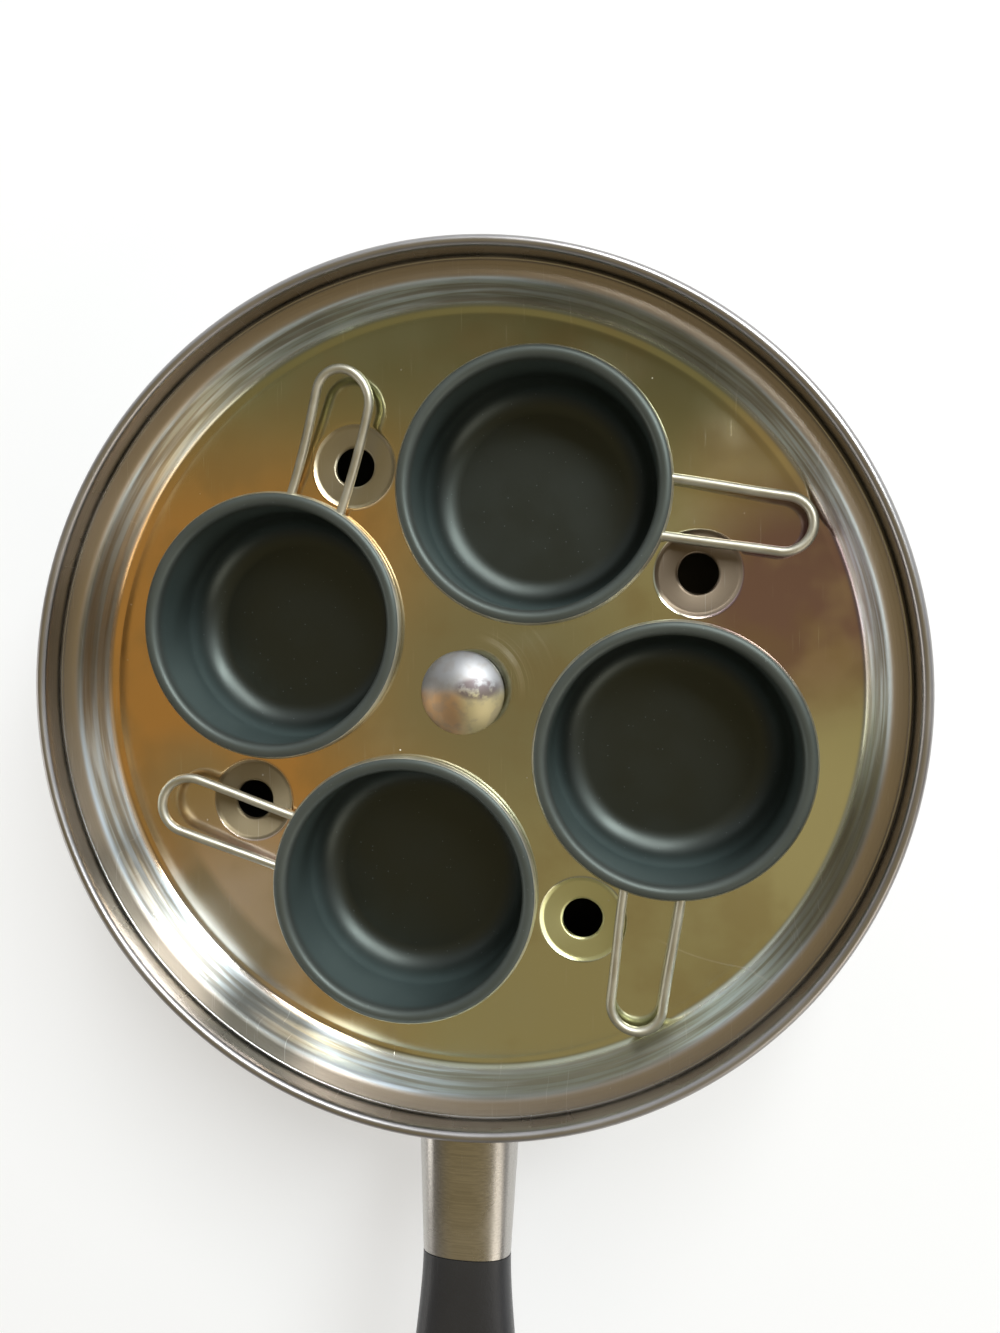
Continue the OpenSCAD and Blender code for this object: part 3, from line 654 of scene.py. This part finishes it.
def nonstick():
    """Satin dark slate coat with a fine sprayed grain and small worn flecks, painted near black on the floor as shade
    and lighter up the walls as painted light, most on the side towards the window.
    """
    paint = Paint("nonstick")
    z = paint.height()
    cloud = paint.noise(60.0, 4.0)
    # Painted shade: the coat is near black on the floor.
    floor = (0.002, 0.002, 0.001, 1.0)
    # Painted light: the walls are a lighter teal than the floor.
    side = paint.mix(cloud, (0.046, 0.066, 0.063, 1.0), (0.074, 0.099, 0.094, 1.0))
    edge = paint.mix(cloud, (0.032, 0.037, 0.033, 1.0), (0.056, 0.062, 0.056, 1.0))
    # Painted light rises from the floor up the wall, lower down on the side towards the window.
    painted_light_rise = paint.ramp(z, (BEAD_Z - 24.2) * MM, (BEAD_Z - 18.0) * MM)
    painted_light_rise = paint.math("MULTIPLY", painted_light_rise, paint.math("MAXIMUM", painted_window_light(paint), paint.ramp(
        z, (BEAD_Z - 20.0) * MM, (BEAD_Z - 6.0) * MM, 0.0, 0.8)))
    colour = paint.mix(painted_light_rise, floor, side)
    colour = paint.mix(paint.ramp(z, (BEAD_Z - 3.0) * MM, (BEAD_Z + 1.2) * MM), colour, edge)
    flecks = paint.specks(900.0, 0.16, 0.12)
    colour = paint.mix(paint.math("MULTIPLY", flecks, 0.25), colour, (0.30, 0.34, 0.35, 1.0))
    grain = paint.noise(3200.0, 2.0)
    gloss = paint.ramp(cloud, 0.3, 0.7, 0.35, 0.41)
    gloss = paint.math("ADD", gloss, paint.ramp(z, (BEAD_Z - 3.0) * MM, (BEAD_Z + 1.2) * MM, 0.0, 0.06))
    paint.set(Base_Color=colour, Metallic=0.0, Roughness=gloss)
    paint.set(Specular_IOR_Level=0.75, Specular_Tint=(0.88, 1.0, 0.90, 1.0))
    paint.set(Normal=paint.relief(grain, 0.07, 0.00008))
    return paint.material


def painted_window_light(paint):
    """Painted light: rises across each cup towards the side that faces the window."""
    flat = paint.stretched((1.0, 1.0, 0.0))
    facing = Vector((*polar(1.0, WINDOW_SIDE), 0.0))
    along = paint.add("ShaderNodeVectorMath", {0: flat, 1: facing}, operation="DOT_PRODUCT").outputs["Value"]
    for index in range(CUP_COUNT):
        centre = Vector((*cup_centre(index), 0.0)) * MM
        reach = cup_radius() * MM
        inside = paint.math("LESS_THAN", paint.distance(flat, centre), reach)
        along = paint.math("SUBTRACT", along, paint.math("MULTIPLY", inside, centre.dot(facing)))
    return paint.ramp(along, 0.0, 0.030, 0.30, 1.0)


def drawn_wire():
    """Polished wire with faint drawing marks."""
    paint = Paint("wire_steel")
    cloud = paint.noise(160.0, 3.0)
    colour = paint.mix(cloud, (0.47, 0.44, 0.35, 1.0), (0.62, 0.60, 0.50, 1.0))
    paint.set(Base_Color=colour, Metallic=1.0, Roughness=paint.ramp(cloud, 0.3, 0.7, 0.40, 0.50))
    paint.set(Normal=paint.relief(paint.noise(700.0, 2.0), 0.03, 0.00005))
    return paint.material


def resin():
    """Satin black moulded resin with a faint texture and pale rub marks."""
    paint = Paint("grip_resin")
    cloud = paint.noise(45.0, 4.0)
    grain = paint.noise(2600.0, 3.0)
    rub = paint.hairlines(80.0, -0.01)
    colour = paint.mix(cloud, (0.013, 0.013, 0.014, 1.0), (0.026, 0.026, 0.028, 1.0))
    paint.set(Base_Color=paint.mix(paint.math("MULTIPLY", rub, 0.15), colour, (0.12, 0.12, 0.12, 1.0)))
    paint.set(Roughness=paint.ramp(grain, 0.3, 0.7, 0.30, 0.44))
    paint.set(Normal=paint.relief(grain, 0.25, 0.00008))
    return paint.material


def cast_aluminium():
    paint = Paint("aluminium_core")
    grain = paint.noise(1500.0, 4.0)
    paint.set(Base_Color=paint.mix(grain, (0.58, 0.58, 0.60, 1.0), (0.76, 0.77, 0.79, 1.0)), Metallic=1.0)
    paint.set(Roughness=0.45, Normal=paint.relief(grain, 0.3))
    return paint.material


def make_finishes():
    """One material for each slot of the record."""
    return {
        "polished_steel": polished_steel(),
        "base_steel": dull_steel("base_steel", (0.56, 0.55, 0.53), (0.44, 0.43, 0.41), 0.24),
        "fastener_steel": dull_steel("fastener_steel", (0.56, 0.55, 0.54), (0.46, 0.45, 0.44), 0.2),
        "tray_steel": tray_steel(),
        "nonstick": nonstick(),
        "wire_steel": drawn_wire(),
        "grip_resin": resin(),
        "aluminium_core": cast_aluminium(),
    }


def finish(piece, body, slot, nodes, finishes):
    """Gives a piece its material, and makes it ride on its body and stand for CAD nodes."""
    piece.data.materials.clear()
    piece.data.materials.append(finishes[slot])
    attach(piece, body)
    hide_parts(*nodes)


def pan_path():
    """The pan's inner face, from the middle of its floor to the end of its rolled rim."""
    roll_z = PAN_TOP - RIM_ROLL_R
    corner_x = PAN_R - PAN_CORNER_R
    corner_z = PAN_FLOOR + PAN_CORNER_R
    path = [(0.0, PAN_FLOOR), (corner_x - 20.0, PAN_FLOOR)]
    path += arc(corner_x, corner_z, PAN_CORNER_R, -90, 0, 14)
    path += [(PAN_R, 40.0)]
    path += arc(PAN_R + LEDGE_BEND_R, LEDGE_Z - LEDGE_BEND_R, LEDGE_BEND_R, 180, 90, 6)
    path += arc(COLLAR_R - COLLAR_BEND_R, LEDGE_Z + COLLAR_BEND_R, COLLAR_BEND_R, -90, 0, 6)
    path += arc(COLLAR_R + RIM_ROLL_R, roll_z, RIM_ROLL_R, 180, -150, 26)
    return path


def make_pan(finishes):
    pan = lathe("pan_wall", sheet_outline(pan_path(), 0.0, PAN_SHEET))
    finish(pan, "pan", "polished_steel", ["pan_shell"], finishes)
    under = [(0.0, 0.0), (CAP_R - CAP_EDGE_R - 10.0, 0.0)]
    under += arc(CAP_R - CAP_EDGE_R, CAP_EDGE_R, CAP_EDGE_R, -90, 0, 8)
    under += [(CAP_R, CAP_H - 0.25)]
    cap = lathe("base_plate", sheet_outline(under, 0.0, -CAP_SHEET))
    finish(cap, "pan", "base_steel", ["base_cap"], finishes)


def tray_rim_path():
    """The tray's upper face from the edge of its plate to the edge of its flange."""
    corner_z = PLATE_Z + TRAY_CORNER_R
    path = [(PLATE_R - SUPPORT, PLATE_Z)]
    path += arc(PLATE_R, corner_z, TRAY_CORNER_R, -90, 0, 10)
    path += [
        (LOWER_WALL_R, STEP_LOW - 0.4), (LOWER_WALL_R + 0.05, STEP_LOW),
        (UPPER_WALL_R - 0.05, STEP_LOW + STEP_H), (UPPER_WALL_R, STEP_LOW + STEP_H + 0.4),
    ]
    path += arc(UPPER_WALL_R + FLANGE_BEND_R, FLANGE_TOP - FLANGE_BEND_R, FLANGE_BEND_R, 180, 90, 8)
    path += [(FLANGE_R - 0.5, FLANGE_TOP), (FLANGE_R, FLANGE_TOP)]
    return path


def hole_path(hole_r):
    """The tray's upper face round a cup hole, from the plate down the turned collar."""
    path = [(hole_r + HOLE_BEND_R + SUPPORT, PLATE_Z)]
    path += arc(hole_r + HOLE_BEND_R, PLATE_Z - HOLE_BEND_R, HOLE_BEND_R, 90, 180, 7)
    path += [(hole_r, PLATE_Z - HOLE_COLLAR_H)]
    return path


def dish_path():
    """The tray's upper face round a vent: the plate, the dish's soft edge, its floor and the vent's lip."""
    path = [(DISH_R + SUPPORT, PLATE_Z)]
    steps = 10
    for step in range(steps + 1):
        share = step / steps
        drop = DISH_DEPTH * (1 - math.cos(math.pi * share)) / 2
        path.append((DISH_R - DISH_EDGE_W * share, PLATE_Z - drop))
    path += arc(VENT_R + VENT_LIP_R, PLATE_Z - DISH_DEPTH - DISH_FALL - VENT_LIP_R, VENT_LIP_R, 90, 180, 6)
    return path


def polar(radius, degrees):
    angle = math.radians(degrees)
    return radius * math.cos(angle), radius * math.sin(angle)


def cup_centre(index):
    low, high = box_mm(f"cup_shell_{index + 1}")
    return (low.x + high.x) / 2, (low.y + high.y) / 2


def cup_radius():
    low, high = box_mm("cup_shell_1")
    return (high.x - low.x) / 2


def vent_centre(index):
    """Halfway between two cups, with the dish 0.2 mm clear of both beads."""
    pitch = math.hypot(*cup_centre(0))
    reach = cup_radius() + 0.2 + DISH_R
    distance = pitch / math.sqrt(2) + math.sqrt(reach**2 - pitch**2 / 2)
    return polar(distance, CUP_TURN + 45.0 + 90.0 * index)


def make_tray(finishes):
    """One sheet: turned rim, cup holes, vents and the flat plate that joins them."""
    bm = bmesh.new()
    hole_r = cup_radius() - 2 * BEAD_R + CUP_SHEET + 0.7
    borders = [turned(bm, tray_rim_path(), False)[0]]
    for index in range(CUP_COUNT):
        borders.append(turned(bm, hole_path(hole_r), False, cup_centre(index), 144)[0])
        borders.append(turned(bm, dish_path(), False, vent_centre(index), 72)[0])
    borders.append(turned(bm, [(SCREW_HOLE_R + SUPPORT, PLATE_Z), (SCREW_HOLE_R, PLATE_Z)], False, steps=32)[0])
    edges = []
    for border in borders:
        for step, vertex in enumerate(border):
            edges.append(bm.edges.get((vertex, border[(step + 1) % len(border)])))
    bmesh.ops.triangle_fill(bm, use_beauty=True, edges=edges, normal=(0, 0, 1))
    bmesh.ops.recalc_face_normals(bm, faces=bm.faces)
    flat = max(bm.faces, key=lambda face: face.calc_area())
    if flat.normal.z < 0:
        bmesh.ops.reverse_faces(bm, faces=bm.faces)
    tray = new_object("tray_plate", mesh_from(bm, "tray_plate"))
    thicken = tray.modifiers.new("sheet", "SOLIDIFY")
    thicken.thickness = TRAY_SHEET * MM
    thicken.offset = -1.0
    thicken.use_even_offset = True
    finish(tray, "tray", "tray_steel", ["poaching_tray"], finishes)


def cup_path(radius, bead_end):
    """The cup's inner face from the middle of its floor, and on over the bead to an angle in degrees."""
    inner = radius - 2 * BEAD_R
    floor_z = BEAD_Z - CUP_DEPTH
    path = [(0.0, floor_z), (inner - CUP_CORNER_R - 6.0, floor_z)]
    path += arc(inner - CUP_CORNER_R, floor_z + CUP_CORNER_R, CUP_CORNER_R, -90, 0, 16)
    path += [(inner, BEAD_Z - 3.0)]
    path += arc(inner + BEAD_R, BEAD_Z, BEAD_R, 180, bead_end, int((180 - bead_end) / 9))
    return path


def make_cups(finishes):
    radius = cup_radius()
    seat = math.degrees(math.asin((PLATE_Z - BEAD_Z) / BEAD_R))
    for index in range(CUP_COUNT):
        number = index + 1
        centre = cup_centre(index)
        coat = sheet_outline(cup_path(radius, COAT_END), 0.0, COAT)
        steel_path = cup_path(radius, seat)
        steel_path.append((radius - 2 * BEAD_R + CUP_SHEET + 0.4, PLATE_Z))
        steel = sheet_outline(steel_path, COAT, CUP_SHEET)
        for name, outline, slot in (("coat", coat, "nonstick"), ("steel", steel, "wire_steel")):
            piece = lathe(f"cup_{number}_{name}", outline, centre, 144)
            finish(piece, f"cup_{number}", slot, [f"cup_shell_{number}"], finishes)


def loop_path(index):
    """The wire's middle line from foot to foot, drawn from the cup's middle along +X and level with the bead."""
    pitch = math.hypot(*cup_centre(0))
    foot_r = cup_radius() - BEAD_R
    turn = math.radians(LOOP_TURNS[index])
    out = LOWER_WALL_R - LOOP_WALL_GAPS[index]
    end_x = math.sqrt(out**2 - (pitch * math.sin(turn)) ** 2) - pitch * math.cos(turn) - WIRE_R
    leave = math.asin((LOOP_ROOT + LOOP_BEND_R) / (foot_r + LOOP_BEND_R))
    start_x = (foot_r + LOOP_BEND_R) * math.cos(leave)
    start_y = LOOP_ROOT + LOOP_BEND_R
    tip_r = LOOP_TIP_RS[index]
    tip_x = end_x - tip_r
    half = []
    foot_steps = 6
    for step in range(foot_steps):
        angle = leave + math.radians(FOOT_DEGREES) * (1 - step / foot_steps)
        half.append((foot_r * math.cos(angle), foot_r * math.sin(angle)))
    bend_steps = 8
    for step in range(bend_steps + 1):
        angle = math.pi + leave + (math.pi / 2 - leave) * step / bend_steps
        half.append((start_x + LOOP_BEND_R * math.cos(angle), start_y + LOOP_BEND_R * math.sin(angle)))
    leg_steps = 14
    for step in range(1, leg_steps):
        share = step / leg_steps
        eased = share * share * (3 - 2 * share)
        half.append((start_x + (tip_x - start_x) * share, LOOP_ROOT + (tip_r - LOOP_ROOT) * eased))
    tip_steps = 12
    for step in range(tip_steps + 1):
        angle = math.pi / 2 * (1 - step / tip_steps)
        half.append((tip_x + tip_r * math.cos(angle), tip_r * math.sin(angle)))
    flat = half + [(x, -y) for x, y in half[-2::-1]]
    path = []
    for x, y in flat:
        share = max(0.0, (x - start_x) / (end_x - start_x))
        path.append(Vector((x, y + LOOP_SWAYS[index] * share**2, LOOP_RISES[index] * share)))
    return path


def tube(name, path, radius, sides=20):
    """A round tube along a path, with domed ends."""
    bm = bmesh.new()
    rings = []
    across = Vector((0.0, 0.0, 1.0))
    last = len(path) - 1
    for index, point in enumerate(path):
        along = (path[min(index + 1, last)] - path[max(index - 1, 0)]).normalized()
        across = (across - across.dot(along) * along).normalized()
        third = along.cross(across)
        angles = [2 * math.pi * side / sides for side in range(sides)]
        rings.append([
            bm.verts.new(point + radius * (across * math.cos(a) + third * math.sin(a))) for a in angles
        ])
    for near, far in zip(rings, rings[1:]):
        bridge(bm, near, far)
    bm.faces.new(rings[0][::-1])
    bm.faces.new(rings[-1])
    bmesh.ops.recalc_face_normals(bm, faces=bm.faces)
    return new_object(name, mesh_from(bm, name))


def make_loops(finishes):
    for index in range(CUP_COUNT):
        number = index + 1
        centre = Vector((*cup_centre(index), BEAD_Z))
        turn = math.radians(CUP_TURN + 90.0 * index + LOOP_TURNS[index])
        spin = Matrix.Rotation(turn, 3, "Z")
        path = [centre + spin @ point for point in loop_path(index)]
        loop = tube(f"loop_{number}_wire", path, WIRE_R)
        finish(loop, f"cup_{number}", "wire_steel", [f"cup_loop_{number}"], finishes)


def make_knob(finishes):
    dome_r = (KNOB_R**2 + DOME_H**2) / (2 * DOME_H)
    dome_z = KNOB_EDGE_Z + DOME_H - dome_r
    inner_r = dome_r - DOME_SHEET
    lip_angle = math.degrees(math.asin((KNOB_EDGE_Z + DOME_LIP - dome_z) / dome_r))
    inner_angle = math.degrees(math.asin((KNOB_EDGE_Z - dome_z) / inner_r))
    outline = arc(0.0, dome_z, dome_r, 90, lip_angle, 22)
    lip_x = outline[-1][0]
    outline += [(lip_x + 0.02, KNOB_EDGE_Z + 0.12), (lip_x - 0.12, KNOB_EDGE_Z)]
    outline += arc(0.0, dome_z, inner_r, inner_angle, 90, 14)
    outline[0] = (0.0, outline[0][1])
    outline[-1] = (0.0, outline[-1][1])
    dome = lathe("knob_cap", outline, steps=96)
    finish(dome, "tray", "polished_steel", ["knob_dome"], finishes)
    top = KNOB_EDGE_Z + STEM_PLATE_H
    stem_outline = [(0.0, top), (STEM_PLATE_R - 0.2, top), (STEM_PLATE_R, top - 0.2)]
    stem_outline += [(STEM_PLATE_R, KNOB_EDGE_Z + 0.2), (STEM_PLATE_R - 0.2, KNOB_EDGE_Z)]
    stem_outline += arc(STEM_R + 0.6, KNOB_EDGE_Z - 0.6, 0.6, 90, 180, 5)
    stem_outline += arc(STEM_R + 0.6, PLATE_Z + 0.6, 0.6, 180, 270, 5)
    stem_outline += [(0.0, PLATE_Z)]
    stem = lathe("knob_post", stem_outline, steps=96)
    finish(stem, "tray", "polished_steel", ["knob_stem"], finishes)


def handle_matrix():
    """From the handle's own space, with +Y outward, to the pan's."""
    turn = Matrix.Rotation(math.pi, 4, "Z")
    lean = Matrix.Rotation(math.radians(HANDLE_TILT), 4, "X")
    return turn @ Matrix.Translation((0.0, PAN_OUT_R, HANDLE_Z)) @ lean


def soft_box(width, height, power, steps):
    """Points round a soft-cornered section, from a round one at power 2 to a square one."""
    points = []
    for step in range(steps):
        angle = 2 * math.pi * step / steps
        c, s = math.cos(angle), math.sin(angle)
        x = width / 2 * math.copysign(abs(c) ** (2 / power), c)
        z = height / 2 * math.copysign(abs(s) ** (2 / power), s)
        points.append((x, z))
    return points


def loft(sections, close_ends, steps=64):
    """A bmesh in the handle's space through sections of (y, width, height, power)."""
    bm = bmesh.new()
    rings = []
    for y, width, height, power in sections:
        rings.append([bm.verts.new((x, y, z)) for x, z in soft_box(width, height, power, steps)])
    for near, far in zip(rings, rings[1:]):
        bridge(bm, near, far)
    if close_ends:
        bm.faces.new(rings[0][::-1])
        bm.faces.new(rings[-1])
    else:
        bridge(bm, rings[-1], rings[0])
    bmesh.ops.recalc_face_normals(bm, faces=bm.faces)
    return bm


def grip_section(y):
    """Width, height and squareness of the grip at a place along it."""
    swell_y = GRIP_START + GRIP_SWELL
    if y < swell_y:
        share = (y - GRIP_START) / GRIP_SWELL
        eased = share * share * (3 - 2 * share)
        return GRIP_NOSE_W + (GRIP_W - GRIP_NOSE_W) * eased, GRIP_H, 2.4 + 0.7 * eased
    share = (min(y, HANG_Y) - swell_y) / (HANG_Y - swell_y)
    width = GRIP_W + (GRIP_END_W - GRIP_W) * share
    beyond = max(0.0, y - HANG_Y) / (GRIP_END - HANG_Y)
    width *= math.sqrt(max(0.0, 1 - beyond**2))
    height = GRIP_H * (1 - 0.85 * max(0.0, (beyond - 0.55) / 0.45) ** 2.2)
    return width, height, 3.1


def make_grip(finishes):
    places = [GRIP_START - 0.0 + step * 2.0 for step in range(61)]
    places += [HANG_Y + (GRIP_END - HANG_Y) * math.sin(math.pi / 2 * step / 14) for step in range(1, 14)]
    sections = [(GRIP_START - 8.0, 20.0, 12.0, 2.3), (GRIP_START, 20.0, 12.0, 2.3)]
    sections += [(y, *grip_section(y)) for y in places]
    sections.append((GRIP_END - 0.02, 2.0, 1.6, 2.2))
    bm = loft(sections, True)
    bmesh.ops.transform(bm, matrix=handle_matrix(), verts=bm.verts)
    grip = new_object("grip_body", mesh_from(bm, "grip_body"))
    cutter_outline = [(0.0, -GRIP_H), (HANG_R + 3.0, -GRIP_H)]
    cutter_outline += arc(HANG_R + 1.6, -GRIP_H / 2 + 1.5, 1.6, 250, 180, 6)
    cutter_outline += arc(HANG_R + 1.6, GRIP_H / 2 - 1.5, 1.6, 180, 110, 6)
    cutter_outline += [(HANG_R + 3.0, GRIP_H), (0.0, GRIP_H)]
    tool = bmesh.new()
    turned(tool, cutter_outline, False, (0.0, HANG_Y), 48)
    bmesh.ops.recalc_face_normals(tool, faces=tool.faces)
    bmesh.ops.transform(tool, matrix=handle_matrix(), verts=tool.verts)
    cutter = new_object("cutter", mesh_from(tool, "cutter"))
    cut = grip.modifiers.new("hole", "BOOLEAN")
    cut.object = cutter
    cut.solver = "EXACT"
    apply_modifiers(grip)
    bpy.data.objects.remove(cutter)
    grip.data.shade_smooth()
    grip.data.set_sharp_from_angle(angle=math.radians(38.0))
    finish(grip, "pan", "grip_resin", ["handle_grip"], finishes)


def apply_modifiers(piece):
    """Replaces a piece's mesh by its evaluated one."""
    graph = bpy.context.evaluated_depsgraph_get()
    made = bpy.data.meshes.new_from_object(piece.evaluated_get(graph))
    piece.modifiers.clear()
    piece.data = made


def make_ferrule(finishes):
    (start, start_w, start_h), (end, end_w, end_h) = FERRULE
    sections = []
    for side, sheet in ((1, 0.0), (-1, FERRULE_SHEET)):
        for step in range(17)[::side]:
            share = step / 16
            y = start + (end - start) * share
            inset = 2 * sheet
            if side == 1 and step in (0, 16):
                inset = 0.5
            width = start_w + (end_w - start_w) * share - inset
            height = start_h + (end_h - start_h) * share - inset
            sections.append((y, width, height, 2.4))
            if side == 1 and step == 0:
                sections.append((y + 0.25, start_w, start_h, 2.4))
            if side == 1 and step == 15:
                sections.append((end - 0.25, end_w, end_h, 2.4))
    bm = loft(sections, False)
    bmesh.ops.transform(bm, matrix=handle_matrix(), verts=bm.verts)
    sleeve = new_object("ferrule_sleeve", mesh_from(bm, "ferrule_sleeve"))
    finish(sleeve, "pan", "polished_steel", ["handle_ferrule"], finishes)


def make_bracket(finishes):
    """The welded pad, bent to the pan's wall, and the tongue."""
    bm = bmesh.new()
    corner = 4.0
    levels = ((PAN_OUT_R - 0.05, 0.0), (PAN_OUT_R + PAD_SHEET - 0.5, 0.0), (PAN_OUT_R + PAD_SHEET, 0.5))
    rings = []
    for radius, inset in levels:
        outline = []
        for corner_x, corner_z, start in ((1, 1, 0), (-1, 1, 90), (-1, -1, 180), (1, -1, 270)):
            x = corner_x * (PAD_W / 2 - corner)
            z = corner_z * (PAD_H / 2 - corner)
            outline += arc(x, z, corner - inset, start, start + 90, 6)
        rings.append([bm.verts.new(on_wall(x, z, radius)) for x, z in outline])
    for near, far in zip(rings, rings[1:]):
        bridge(bm, near, far)
    rows = []
    for share in (0.66, 0.33):
        count = len(rings[0])
        row = []
        for vertex in rings[-1]:
            x = vertex.co.x * share
            z = HANDLE_Z + (vertex.co.z - HANDLE_Z) * share
            row.append(bm.verts.new(on_wall(x, z - HANDLE_Z, PAN_OUT_R + PAD_SHEET)))
        rows.append(row)
    bridge(bm, rings[-1], rows[0])
    bridge(bm, rows[0], rows[1])
    bm.faces.new(rows[1])
    bm.faces.new(rings[0][::-1])
    bmesh.ops.recalc_face_normals(bm, faces=bm.faces)
    pad = new_object("bracket_pad", mesh_from(bm, "bracket_pad"))
    finish(pad, "pan", "polished_steel", ["handle_bracket"], finishes)
    sections = [(0.9, TONGUE_W - 0.6, TONGUE_H - 0.6, 8.0), (1.2, TONGUE_W, TONGUE_H, 8.0)]
    sections += [(TONGUE_L - 0.3, TONGUE_W, TONGUE_H, 8.0), (TONGUE_L, TONGUE_W - 0.6, TONGUE_H - 0.6, 8.0)]
    tongue_bm = loft(sections, True)
    bmesh.ops.transform(tongue_bm, matrix=handle_matrix(), verts=tongue_bm.verts)
    tongue = new_object("bracket_tongue", mesh_from(tongue_bm, "bracket_tongue"))
    finish(tongue, "pan", "polished_steel", ["handle_bracket"], finishes)


def on_wall(x, z, radius):
    """A point beside the pan's wall, x round it and z above the handle's height."""
    angle = x / radius
    return radius * math.sin(angle), -radius * math.cos(angle), HANDLE_Z + z


def dress_left_nodes(finishes):
    """Gives each CAD node that is still shown the finish of its slot in the record."""
    for row in frame["record"]["subparts"]:
        node = frame["nodes"][row["node"]]
        if not node.hide_render:
            node.data.materials.clear()
            node.data.materials.append(finishes[row["material_slot"]])


make_camera()
make_world()
make_lamps()
make_floor()
bpy.context.scene.view_settings.view_transform = "Standard"
all_finishes = make_finishes()
make_pan(all_finishes)
make_tray(all_finishes)
make_cups(all_finishes)
make_loops(all_finishes)
make_knob(all_finishes)
make_ferrule(all_finishes)
make_grip(all_finishes)
make_bracket(all_finishes)
dress_left_nodes(all_finishes)
